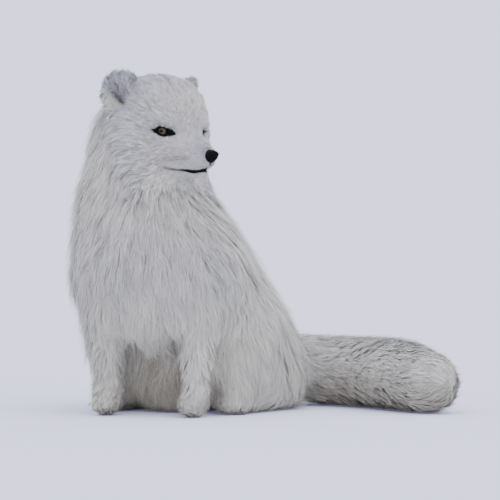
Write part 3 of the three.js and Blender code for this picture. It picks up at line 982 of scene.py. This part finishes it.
def grainyMaterial(name, look):
    # one colour, broken up by grain
    material, tree, shader = newMaterial(name, look["surface"])
    place = addNode(tree, "ShaderNodeTexCoord").outputs["Object"]
    scale, amount = look["grain"]
    grain = placeGroup(tree, streakGroup, Vector=place, Scale=scale, Amount=amount)
    plain = addNode(tree, "ShaderNodeCombineColor", dict(enumerate(look["colour"]))).outputs[0]
    tree.links.new(multiply(tree, plain, grain["Shade"]), shader.inputs["Base Color"])
    height = grain["Height"]
    if "cells" in look:
        cells = addNode(tree, "ShaderNodeTexVoronoi", {"Vector": place, "Scale": look["cells"]})
        height = cells.outputs["Distance"]
    if "bump" in look:
        raiseGrain(tree, shader, height, *look["bump"])
    return material


def makeSkinMaterial():
    material, tree, shader = newMaterial("shortFur", finish["skinSurface"])
    place = addNode(tree, "ShaderNodeTexCoord").outputs["Object"]
    grain = placeGroup(tree, streakGroup, Vector=place, Scale=900.0, Amount=0.5)
    colour = multiply(tree, foxColour(tree, place), grain["Shade"])
    tree.links.new(multiply(tree, colour, finish["undercoat"]), shader.inputs["Base Color"])
    raiseGrain(tree, shader, grain["Height"], 0.6, 0.0006)
    return material


def makeCoatMaterial():
    material, tree, shader = newMaterial("winterCoat", finish["coatSurface"])
    colour = foxColour(tree, readMark(tree, "rootPlace", "Vector"))
    colour = multiply(tree, colour, readMark(tree, "tone"))
    tree.links.new(colour, shader.inputs["Base Color"])
    return material


skinMaterial = makeSkinMaterial()
coatMaterial = makeCoatMaterial()


def setMark(mesh, name, values, kind="FLOAT"):
    mark = mesh.attributes.new(name, kind, "POINT")
    key = "vector" if kind == "FLOAT_VECTOR" else "value"
    mark.data.foreach_set(key, np.asarray(values, np.float32).ravel())


def makeSkin():
    mesh = makeMesh("skin", innerSkin, [skinFaces])
    for name, values in marks.items():
        setMark(mesh, name, values)
    addPiece(mesh, "coat", skinMaterial, *regionOfNode)


makeSkin()
print("skin made:", len(skinFaces), "faces")

# eyes, nose, claws, toe pads and whiskers


def ballGrid(rings, segments):
    # directions over a ball whose pole is the x axis, and its faces
    down = np.linspace(0, math.pi, rings + 1)[1:-1]
    around = np.linspace(0, 2 * math.pi, segments, endpoint=False)
    a, b = np.meshgrid(down, around, indexing="ij")
    rows = np.stack([np.cos(a), np.sin(a) * np.cos(b), np.sin(a) * np.sin(b)], 2).reshape(-1, 3)
    points = np.concatenate([[[1, 0, 0]], rows, [[-1, 0, 0]]])
    row = 1 + np.arange(rings - 1)[:, None] * segments + np.arange(segments)
    after = np.roll(row, -1, axis=1)
    quads = np.stack([row[:-1], row[1:], after[1:], after[:-1]], 2).reshape(-1, 4)
    last = len(points) - 1
    front = np.stack([0 * row[0], row[0], after[0]], 1)
    rear = np.stack([last + 0 * row[-1], after[-1], row[-1]], 1)
    return points, [quads, np.concatenate([front, rear])]


eyeFinish = {
    "irisDark": (0.035, 0.030, 0.022),
    "irisLight": (0.125, 0.104, 0.077),
    "irisPale": (0.105, 0.090, 0.070),
    "ring": (0.004, 0.0035, 0.003),
    "pupil": (0.004, 0.004, 0.004),
    "pupilSize": (0.36, 0.28),
    "surface": {"Roughness": 0.10, "Specular IOR Level": 0.04, "Coat Weight": 0.05, "Coat Roughness": 0.02},
}


def makeEyeMaterial():
    material, tree, shader = newMaterial("amberEye", eyeFinish["surface"])
    place = addNode(tree, "ShaderNodeTexCoord").outputs["Object"]
    axes = addNode(tree, "ShaderNodeSeparateXYZ", {0: place}).outputs

    def squash(divisorY, divisorZ):
        parts = [addNode(tree, "ShaderNodeMath", {0: axis, 1: by}, operation="DIVIDE").outputs[0]
                 for axis, by in ((axes[1], divisorY), (axes[2], divisorZ))]
        flat = addNode(tree, "ShaderNodeCombineXYZ", dict(enumerate(parts))).outputs[0]
        return addNode(tree, "ShaderNodeVectorMath", {0: flat}, operation="LENGTH").outputs["Value"]

    radius = eyeShape["irisRadius"]
    out = squash(radius, radius)
    angle = addNode(tree, "ShaderNodeVectorMath", {0: place}, operation="NORMALIZE").outputs[0]
    fibres = addNoise(tree, angle, 24.0, 4)
    iris = blendColour(tree, fibres, eyeFinish["irisDark"], eyeFinish["irisLight"])
    iris = blendColour(tree, rescale(tree, out, 0.35, 0.75, 1.0, 0.0), iris, eyeFinish["irisPale"])
    # painted shade: the iris darkens towards its outer side, away from the nose
    iris = multiply(tree, iris, rescale(tree, axes[1], -0.9 * radius, 0.5 * radius, 0.35, 1.0))
    iris = blendColour(tree, rescale(tree, out, 0.78, 0.98), iris, eyeFinish["ring"])
    pupil = squash(*(radius * size for size in eyeFinish["pupilSize"]))
    hole = rescale(tree, pupil, 0.9, 1.1, 1.0, 0.0)
    tree.links.new(blendColour(tree, hole, iris, eyeFinish["pupil"]), shader.inputs["Base Color"])
    return material


def makeEyes():
    material = makeEyeMaterial()
    for side, word in sides:
        ball, faces = ballGrid(40, 56)
        swell = eyeShape["cornea"] * smoothStep(0.72, 1.0, ball[:, 0])
        mesh = makeMesh(f"eyeball_{word}", ball * (eyeRadius + swell)[:, None], faces)
        axes = Matrix([Vector(axis) for axis in eyeAxes(side, "gaze")]).transposed().to_4x4()
        place = Matrix.Translation(Vector(eyeMiddles[side])) @ axes
        addPiece(mesh, "eye", material, f"eye_{word}", place=place)


noseShape = {
    "half": (0.0098, 0.0074, 0.0076),
    "flatness": 0.78,
    "narrowing": 0.38,  # towards its lower edge
    "lowerEdge": 0.0016,  # how far that is set back
    "nostril": 0.0015,
    "slot": 0.0009,
    "wing": 0.0003,
    "groove": 0.0008,
}
noseFinish = {
    "colour": (0.0020, 0.0020, 0.0026), "grain": (700.0, 0.6), "cells": 1500.0, "bump": (0.5, 0.0003),
    "surface": {"Roughness": 0.50, "Specular IOR Level": 0.03, "Coat Weight": 0.07, "Coat Roughness": 0.12},
}


def makeNose():
    ball, faces = ballGrid(64, 96)
    forward, left, up = ball.T
    points = ball * np.array(noseShape["half"])
    flatness = noseShape["flatness"]
    points[:, 0] = noseShape["half"][0] * flatness * np.tanh(forward / flatness)  # its front is flat
    points[:, 0] -= noseShape["lowerEdge"] * smoothStep(-0.1, -1.0, up)
    points[:, 1] *= 1 - noseShape["narrowing"] * smoothStep(0.25, -1.0, up)
    points[:, 2] *= 1 - 0.10 * smoothStep(0.3, 1.0, up)
    dent = noseShape["groove"] * bell(left, 0.09) * smoothStep(0.45, 0.1, up) * (forward > 0)
    for side, _ in sides:
        hole = lengthOf(ball - unit(np.array([0.72, side * 0.62, -0.10])))
        slot = lengthOf((ball - unit(np.array([0.50, side * 0.90, -0.02]))) * [1, 1, 2.2])
        wing = lengthOf(ball - unit(np.array([0.62, side * 0.70, 0.32])))
        dent += noseShape["nostril"] * bell(hole, 0.18) + noseShape["slot"] * bell(slot, 0.26)
        dent -= noseShape["wing"] * bell(wing, 0.3)
    points -= unit(points) * dent[:, None]
    mesh = makeMesh("nose_pad", noseMiddle + points @ headAxes, faces)
    addPiece(mesh, "nose", grainyMaterial("noseLeather", noseFinish), "nose")


toeSpread = (-0.0094, -0.0034, 0.0034, 0.0094)
clawShape = {"length": 0.0055, "radius": 0.0007, "back": 0.0082, "rings": 7, "sides": 10}
clawFinish = {"colour": (0.36, 0.33, 0.30), "grain": (900.0, 0.7), "surface": {"Roughness": 0.3}}


def toePlaces(foot):
    low, high = boxOf(foot)
    for x in toeSpread:
        back = 0.0075 + 60 * x * x
        yield slimPaw(np.array([[(low[0] + high[0]) / 2 + x, low[1] + back, 0]]))[0], x


def tube(spine, radii, corners):
    # a tapered tube along spine with a closed point at its end
    ways = unit(np.gradient(spine, axis=0))
    side = unit(np.cross(ways, [0.13, 0.31, 0.94]))
    up = np.cross(side, ways)
    around = np.linspace(0, 2 * math.pi, corners, endpoint=False)
    ring = side[:-1, None] * np.cos(around)[:, None] + up[:-1, None] * np.sin(around)[:, None]
    points = (spine[:-1, None] + ring * radii[:-1, None, None]).reshape(-1, 3)
    points = np.concatenate([points, spine[-1:]])
    row = np.arange(len(spine) - 1)[:, None] * corners + np.arange(corners)
    after = np.roll(row, -1, axis=1)
    quads = np.stack([row[:-1], after[:-1], after[1:], row[1:]], 2).reshape(-1, 4)
    tip = np.stack([row[-1], after[-1], np.full(corners, len(points) - 1)], 1)
    return points, quads, tip


def makeClaws():
    t = np.linspace(0, 1, clawShape["rings"])
    tubes = []
    for foot in feet:
        for toe, x in toePlaces(foot):
            ahead = toe[1] + clawShape["back"] - clawShape["length"] * t
            height = 0.0100 - 0.0020 * t - 0.0030 * t * t
            spine = np.stack([toe[0] + 0.12 * x * t, ahead, height], 1)
            tubes.append(tube(spine, clawShape["radius"] * (1 - t) ** 0.6, clawShape["sides"]))
    addPiece(makeMesh("claws", *joinParts(tubes)), "claw", grainyMaterial("clawHorn", clawFinish))


padShape = {
    "toe": (0.0022, 0.0035, 0.0017),
    "toeBack": 0.017,
    "toeHeight": 0.0022,
    "main": (0.0075, 0.0060, 0.0020),
    "mainBack": 0.036,
    "mainHeight": 0.0024,
}
padFinish = {
    "colour": (0.10, 0.09, 0.09), "grain": (1400.0, 0.5), "bump": (0.5, 0.0004),
    "surface": {"Roughness": 0.6},
}


def makePads():
    ball, faces = ballGrid(12, 18)
    parts = []
    for foot in feet:
        low, high = boxOf(foot)
        spots = [(toe + [-0.3 * x, padShape["toeBack"], padShape["toeHeight"]], padShape["toe"])
                 for toe, x in toePlaces(foot)]
        main = np.array([(low[0] + high[0]) / 2, low[1] + padShape["mainBack"], padShape["mainHeight"]])
        for middle, half in [*spots, (main, padShape["main"])]:
            parts.append((middle + ball * half, *faces))
    addPiece(makeMesh("toe_pads", *joinParts(parts)), "pads", grainyMaterial("padLeather", padFinish))


whiskerShape = {
    "rows": 3,
    "columns": 4,
    "first": (0.046, -0.0315),  # how far forward and up the foremost one of the top row grows
    "columnStep": 0.006,
    "rowStep": (0.002, 0.0035),
    "length": (0.024, 0.046),
    "radius": 0.00016,
    "rings": 7,
    "sides": 4,
    "seed": 5,
}
whiskerFinish = {"colour": (0.20, 0.19, 0.19), "grain": (600.0, 0.6), "surface": {"Roughness": 0.4}}


def makeWhiskers():
    rng = np.random.default_rng(whiskerShape["seed"])
    t = np.linspace(0, 1, whiskerShape["rings"])
    (forward, up), (back, down) = whiskerShape["first"], whiskerShape["rowStep"]
    roots = [(forward - whiskerShape["columnStep"] * k - back * row, up - down * row)
             for row in range(whiskerShape["rows"]) for k in range(whiskerShape["columns"])]
    tree = BVHTree.FromPolygons(innerSkin.tolist(), skinFaces.tolist())
    tubes = []
    for side, _ in sides:
        for forward, up in roots:
            root = np.array(tree.find_nearest(Vector(fromHead(forward, side * 0.03, up)))[0])
            way = side * headLeft * 0.75 - headForward * rng.uniform(0.45, 0.75)
            way = way + headUp * rng.uniform(-0.25, 0.05)
            length = rng.uniform(*whiskerShape["length"])
            bow = -headForward * 0.25 - headUp * rng.uniform(0.1, 0.3)
            spine = root + length * (unit(way) * t[:, None] + bow * (t * t)[:, None])
            tubes.append(tube(spine, whiskerShape["radius"] * (1 - 0.9 * t), whiskerShape["sides"]))
    material = grainyMaterial("whiskerHair", whiskerFinish)
    addPiece(makeMesh("whiskers", *joinParts(tubes)), "whisker", material)


makeEyes()
makeNose()
makeClaws()
makePads()
makeWhiskers()
print("eyes, nose, claws, pads and whiskers made")

# guide hairs: a path over the body from every point of the skin

guideRise = [0.0, 0.50, 0.86, 1.0]  # how much of the coat's depth a hair has climbed at each step
guideSteps = len(guideRise) - 1
rootDepth = 0.0004  # how far under the skin a hair starts


def growGuides():
    tree = BVHTree.FromPolygons(outerSkin.tolist(), skinFaces.tolist())
    faceLie = unit(lieOfHair[skinFaces].mean(1))
    faceRise = (outerSkin - innerSkin)[skinFaces].mean(1)
    at, way = outerSkin.copy(), lieOfHair.copy()
    path, facing = [innerSkin - rootDepth * innerNormals], [innerNormals]
    for step in range(1, guideSteps + 1):
        ahead = at + way * (coatRun / guideSteps)[:, None]
        found = [tree.find_nearest(Vector(p)) for p in ahead]
        spot, normal, face = (np.array([f[i] for f in found]) for i in range(3))
        at = mix(ahead, spot, coatCling[:, None])
        way = unit(mix(way, faceLie[face], coatCling[:, None]))
        puff = (coatPuff * (step / guideSteps) ** 1.5)[:, None]
        path.append(at - (1 - guideRise[step]) * faceRise[face] + puff * normal)
        facing.append(normal)
    return np.stack(path, 1), np.stack(facing, 1)


guidePath, guideFacing = growGuides()
print("guide hairs grown")

# coat

# for each kind of coat: the width of a tuft, how many tufts share a small lock and how far they gather,
# how many share a broad lock, how far it gathers, swings aside and lifts, how the hair waves, its tone
# at root, middle and tip, how much that differs from hair to hair and from lock to lock; how many steps
# a tuft has and how far it may roll over come from usualStyle where a kind doesn't say
usualStyle = {"roll": 0.7, "steps": 3}
# a tone darker at the root than at the tip is partly the hair's own colour and partly painted shade deep in
# the coat
coatStyles = {
    "face": {"steps": 2, "width": 0.00050, "lock": 26, "gather": 0.78,
             "broad": 110, "draw": 0.22, "swing": 0.30, "lift": 0.24, "wave": 0.0004,
             "tone": (0.50, 0.92, 1.09), "hair": 0.14, "locks": 0.23},
    "head": {"width": 0.00058, "lock": 15, "gather": 0.68,
             "broad": 90, "draw": 0.30, "swing": 0.32, "lift": 0.22, "wave": 0.0009,
             "tone": (0.84, 0.94, 1.06), "hair": 0.12, "locks": 0.14},
    "ear": {"width": 0.00042, "lock": 14, "gather": 0.45,
            "broad": 60, "draw": 0.10, "swing": 0.45, "lift": 0.35, "wave": 0.0010,
            "tone": (0.72, 0.94, 1.12), "hair": 0.20, "locks": 0.30},
    "body": {"width": 0.00062, "lock": 7, "gather": 0.40,
             "broad": 90, "draw": 0.26, "swing": 0.27, "lift": 0.09, "wave": 0.0022,
             "tone": (0.84, 0.98, 1.05), "hair": 0.09, "locks": 0.08},
    "leg": {"width": 0.00052, "lock": 8, "gather": 0.45,
            "broad": 80, "draw": 0.25, "swing": 0.22, "lift": 0.10, "wave": 0.0008,
            "tone": (0.82, 0.98, 1.04), "hair": 0.09, "locks": 0.07},
    "tail": {"roll": 0.45, "width": 0.00095, "lock": 5, "gather": 0.15,
             "broad": 80, "draw": 0.06, "swing": 0.15, "lift": 0.05, "wave": 0.0014,
             "tone": (1.04, 1.08, 1.12), "hair": 0.13, "locks": 0.08},
}
# each piece of the coat: its kind, and how many triangles it may have
coatPieces = {
    "coat_face": ("face", 189000),
    "coat_head": ("head", 190000),
    "coat_ears": ("ear", 96000),
    "coat_neck": ("body", 190000),
    "coat_chest": ("body", 190000),
    "coat_back": ("body", 138000),
    "coat_legs": ("leg", 135000),
    "coat_haunch_left": ("body", 120000),
    "coat_haunch_right": ("body", 88000),
    "coat_tail": ("tail", 162000),
}
strayHair = {"share": 0.14, "reach": (1.00, 1.26), "width": 0.50, "lift": 0.26}
underHair = {"share": 0.30, "reach": (0.50, 0.75), "width": 1.45}
everyHair = {
    "reach": (0.92, 0.09),  # how much of its length it shows, and how much that differs
    "longest": 1.04,
    "pull": (0.6, 1.15),  # how strongly it gathers to its lock
    "loosePull": 0.3,  # how much less strays and underhair do
    "lockSwing": 0.12,
    "swing": 0.07,
    "lockLift": 0.05,
    "lockLength": 0.09,
    "droop": 0.04,
    "waves": 5.0,
    "size": (0.7, 1.3),
}
tuftPatch = 0.003  # how much of its map one tuft takes up
firstSeed = 11
# along a tuft: where it is measured, and its width there
tuftTaper = ((0, 0.35, 0.75, 1), (0.75, 1.0, 0.72, 0))
evenLength = 0.016  # shorter hair than this has a more even tone


def pieceOfFaces():
    # which coat piece each face of the skin belongs to
    top = regionShare[skinFaces].mean(1).argmax(1)
    centre = outerSkin[skinFaces].mean(1)
    head = toHead(centre)
    names = list(coatPieces)
    home = np.zeros(len(skinFaces), int)

    def claim(piece, *kinds, where=True):
        mine = sum(top == regions.index(kind) for kind in kinds) > 0
        home[mine & where] = names.index(piece)

    claim("coat_head", "head", "jaw")
    claim("coat_face", "head", "jaw", where=(head[:, 0] > -0.022) & (head[:, 2] < 0.030))
    claim("coat_ears", "ear")
    claim("coat_neck", "neck")
    trunkFront = centre[:, 1] < middleOf("trunk")[1]
    claim("coat_chest", "trunk", where=trunkFront)
    claim("coat_back", "trunk", where=~trunkFront)
    claim("coat_legs", "foreLeg", "forePaw", "hindFoot")
    isLeft = centre[:, 0] > middleOf("trunk")[0]
    claim("coat_haunch_left", "thigh", where=isLeft)
    claim("coat_haunch_right", "thigh", where=~isLeft)
    claim("coat_tail", "tail")
    return home


def unwrapFaces(faces):
    # lays this part of the skin out flat and returns the place of each corner of each face
    used, back = np.unique(faces, return_inverse=True)
    mesh = makeMesh("flat", innerSkin[used], [back.reshape(-1, 3)])
    flat = placeObject("flat", mesh)
    bpy.context.view_layer.objects.active = flat
    flat.select_set(True)
    mesh.uv_layers.new(name="flat")
    bpy.ops.object.mode_set(mode="EDIT")
    bpy.ops.mesh.select_all(action="SELECT")
    bpy.ops.uv.smart_project(angle_limit=math.radians(72), island_margin=0.004, scale_to_bounds=True)
    bpy.ops.object.mode_set(mode="OBJECT")
    places = np.empty(len(mesh.loops) * 2)
    mesh.uv_layers[0].uv.foreach_get("vector", places)
    bpy.data.objects.remove(flat)
    bpy.data.meshes.remove(mesh)
    return places.reshape(-1, 3, 2)


def scatterRoots(faces, count, rng):
    corner = innerSkin[faces]
    area = lengthOf(np.cross(corner[:, 1] - corner[:, 0], corner[:, 2] - corner[:, 0]))
    # shorter hair stands closer together
    weight = area / (0.004 + coatRun[faces].mean(1)) ** 0.8
    weight *= marks["rim"][faces].mean(1) < 0.35
    chosen = rng.choice(len(faces), count, p=weight / weight.sum())
    a, b = rng.random(count), rng.random(count)
    turned = a + b > 1
    a[turned], b[turned] = 1 - a[turned], 1 - b[turned]
    return chosen, np.stack([1 - a - b, a, b], 1)


def blendCorners(values, faces, part):
    picked = values[faces]
    return (picked * part.reshape(part.shape + (1,) * (picked.ndim - 2))).sum(1)


def alongPath(path, t):
    # points at fractions t (tufts x places) along each tuft's own guide
    place = t * guideSteps
    low = np.minimum(place.astype(int), guideSteps - 1)
    share = (place - low)[..., None]
    row = np.arange(len(path))[:, None]
    return mix(path[row, low], path[row, low + 1], share)


def gatherLocks(roots, tufts, rng):
    # picks the tufts that lead the locks, and finds the nearest of them to each tuft
    count = max(len(roots) // tufts, 2)
    leaders = rng.choice(len(roots), count, replace=False)
    tree = KDTree(count)
    for number, leader in enumerate(leaders):
        tree.insert(roots[leader], number)
    tree.balance()
    return leaders, np.array([tree.find(p)[1] for p in roots])


def lockSwing(locks, amount, rng):
    # one value for each lock, handed to all of its tufts
    leaders, number = locks
    return rng.normal(0, amount, len(leaders))[number]


def layTufts(path, facing, depth, length, style, rng):
    # the middle line of every tuft, with its upward direction at each step
    count = len(path)
    fine = gatherLocks(path[:, 0], style["lock"], rng)
    broad = gatherLocks(path[:, 0], style["broad"], rng)
    drawn = rng.random(count)
    stray, under = drawn < strayHair["share"], drawn > 1 - underHair["share"]
    reach = np.clip(rng.normal(*everyHair["reach"], count), 0.5, everyHair["longest"])
    reach *= np.clip(1 + lockSwing(fine, everyHair["lockLength"], rng), 0.78, 1.10)
    reach = np.minimum(reach, everyHair["longest"])
    reach = np.where(stray, rng.uniform(*strayHair["reach"], count), reach)
    reach = np.where(under, rng.uniform(*underHair["reach"], count), reach)
    widen = np.where(stray, strayHair["width"], np.where(under, underHair["width"], 1))
    t = np.linspace(0, 1, style["steps"] + 1)
    places = reach[:, None] * t
    own = alongPath(path, places)
    for (leaders, number), gather in ((broad, style["draw"]), (fine, style["gather"])):
        led = alongPath(path[leaders][number], places)
        loose = np.where(stray | under, everyHair["loosePull"], 1)
        pull = gather * rng.uniform(*everyHair["pull"], count) * loose
        own = mix(own, led, (pull[:, None] * t ** 1.3)[..., None])
    up = unit(alongPath(facing, places))
    sideways = unit(np.cross(unit(np.gradient(own, axis=1)), up))
    swing = lockSwing(broad, style["swing"], rng) + lockSwing(fine, everyHair["lockSwing"], rng)
    swing += rng.normal(0, everyHair["swing"], count)
    phase = lockSwing(fine, 3.0, rng)
    bend = np.sin(phase[:, None] + everyHair["waves"] * t) - np.sin(phase)[:, None]
    aside = (swing * length)[:, None] * t ** 1.4 * 0.5 + style["wave"] * bend * t
    rise = lockSwing(broad, style["lift"], rng) + lockSwing(fine, everyHair["lockLift"], rng)
    rise += strayHair["lift"] * stray
    lift = (rise * depth)[:, None] * t - everyHair["droop"] * depth[:, None] * t ** 3
    own = own + sideways * aside[..., None] + up * lift[..., None]
    own[..., 2] = np.maximum(own[..., 2], 0.0006 + 0.0012 * rng.random(count)[:, None])
    shade = 1 + lockSwing(broad, 0.05, rng) + lockSwing(fine, style["locks"], rng)
    return own, up, t, widen, shade + rng.normal(0, style["hair"], count)


def bothEdges(values):
    # what each step of a tuft has, for its left edge, its right edge and its tip
    return np.concatenate([values[:, :-1], values[:, :-1], values[:, -1:]], 1)


def growCoat(name, faces, seed):
    kind, triangles = coatPieces[name]
    style = {**usualStyle, **coatStyles[kind]}
    rng = np.random.default_rng(seed)
    steps = style["steps"]
    count = triangles // (2 * steps - 1)
    chosen, part = scatterRoots(faces, count, rng)
    rootFaces = faces[chosen]
    path = blendCorners(guidePath, rootFaces, part)
    facing = unit(blendCorners(guideFacing, rootFaces, part))
    depth = blendCorners(coatDepth, rootFaces, part)
    length = depth + blendCorners(coatRun, rootFaces, part)
    own, up, t, widen, shade = layTufts(path, facing, depth, length, style, rng)

    tangent = unit(np.gradient(own, axis=1))
    sideways = unit(np.cross(tangent, up))
    over = unit(np.cross(sideways, tangent))
    roll = rng.uniform(-style["roll"], style["roll"], count)[:, None, None]
    across = sideways * np.cos(roll) + over * np.sin(roll)
    taper = np.interp(t[:-1], *tuftTaper)
    scale = widen * np.clip(length / np.median(length), 0.45, 1.5) ** 0.5
    scale *= rng.uniform(*everyHair["size"], count)
    half = 0.5 * style["width"] * scale[:, None] * taper
    left = own[:, :-1] - across[:, :-1] * half[..., None]
    right = own[:, :-1] + across[:, :-1] * half[..., None]
    points = np.concatenate([left, right, own[:, -1:]], 1)

    normals = bothEdges(unit(mix(up, unit(np.cross(across, tangent)), 0.35)))
    each = 2 * steps + 1
    first = (np.arange(count) * each)[:, None]
    k = np.arange(steps - 1)
    quads = np.stack([first + k, first + steps + k, first + steps + k + 1, first + k + 1], 2).reshape(-1, 4)
    tips = np.stack([first + steps - 1, first + 2 * steps - 1, first + 2 * steps], 2).reshape(-1, 3)
    mesh = makeMesh(name, points.reshape(-1, 3), [quads, tips])

    # the tone darkens towards each root: partly the hair's own colour, partly painted shade deep in the
    # coat
    tone = np.interp(t, [0, 0.5, 1], style["tone"]) * np.clip(shade, 0.6, 1.3)[:, None]
    setMark(mesh, "tone", bothEdges(mix(1, tone, np.clip(length / evenLength, 0.4, 1)[:, None])))
    for mark, values in marks.items():
        setMark(mesh, mark, np.repeat(blendCorners(values, rootFaces, part), each))
    rootPlace = np.repeat(blendCorners(outerSkin, rootFaces, part), each, axis=0)
    setMark(mesh, "rootPlace", rootPlace, "FLOAT_VECTOR")

    laid = unwrapFaces(faces)
    centre = (laid[chosen] * part[..., None]).sum(1)
    aside = np.concatenate([-np.ones(steps), np.ones(steps), [0]])
    patch = np.stack([aside / 2, bothEdges(t[None])[0] - 0.5], 1) * tuftPatch
    uv = (np.clip(centre, tuftPatch, 1 - tuftPatch)[:, None] + patch).reshape(-1, 2)
    layer = mesh.uv_layers.new(name="OFBake")
    corners = np.concatenate([quads.ravel(), tips.ravel()])
    layer.uv.foreach_set("vector", uv[corners].astype(np.float32).ravel())
    mesh.normals_split_custom_set_from_vertices(normals.reshape(-1, 3).astype(np.float32))
    addPiece(mesh, "coat", coatMaterial)
    print(name, count, "tufts")


home = pieceOfFaces()
for number, name in enumerate(coatPieces):
    growCoat(name, skinFaces[home == number], firstSeed + number)
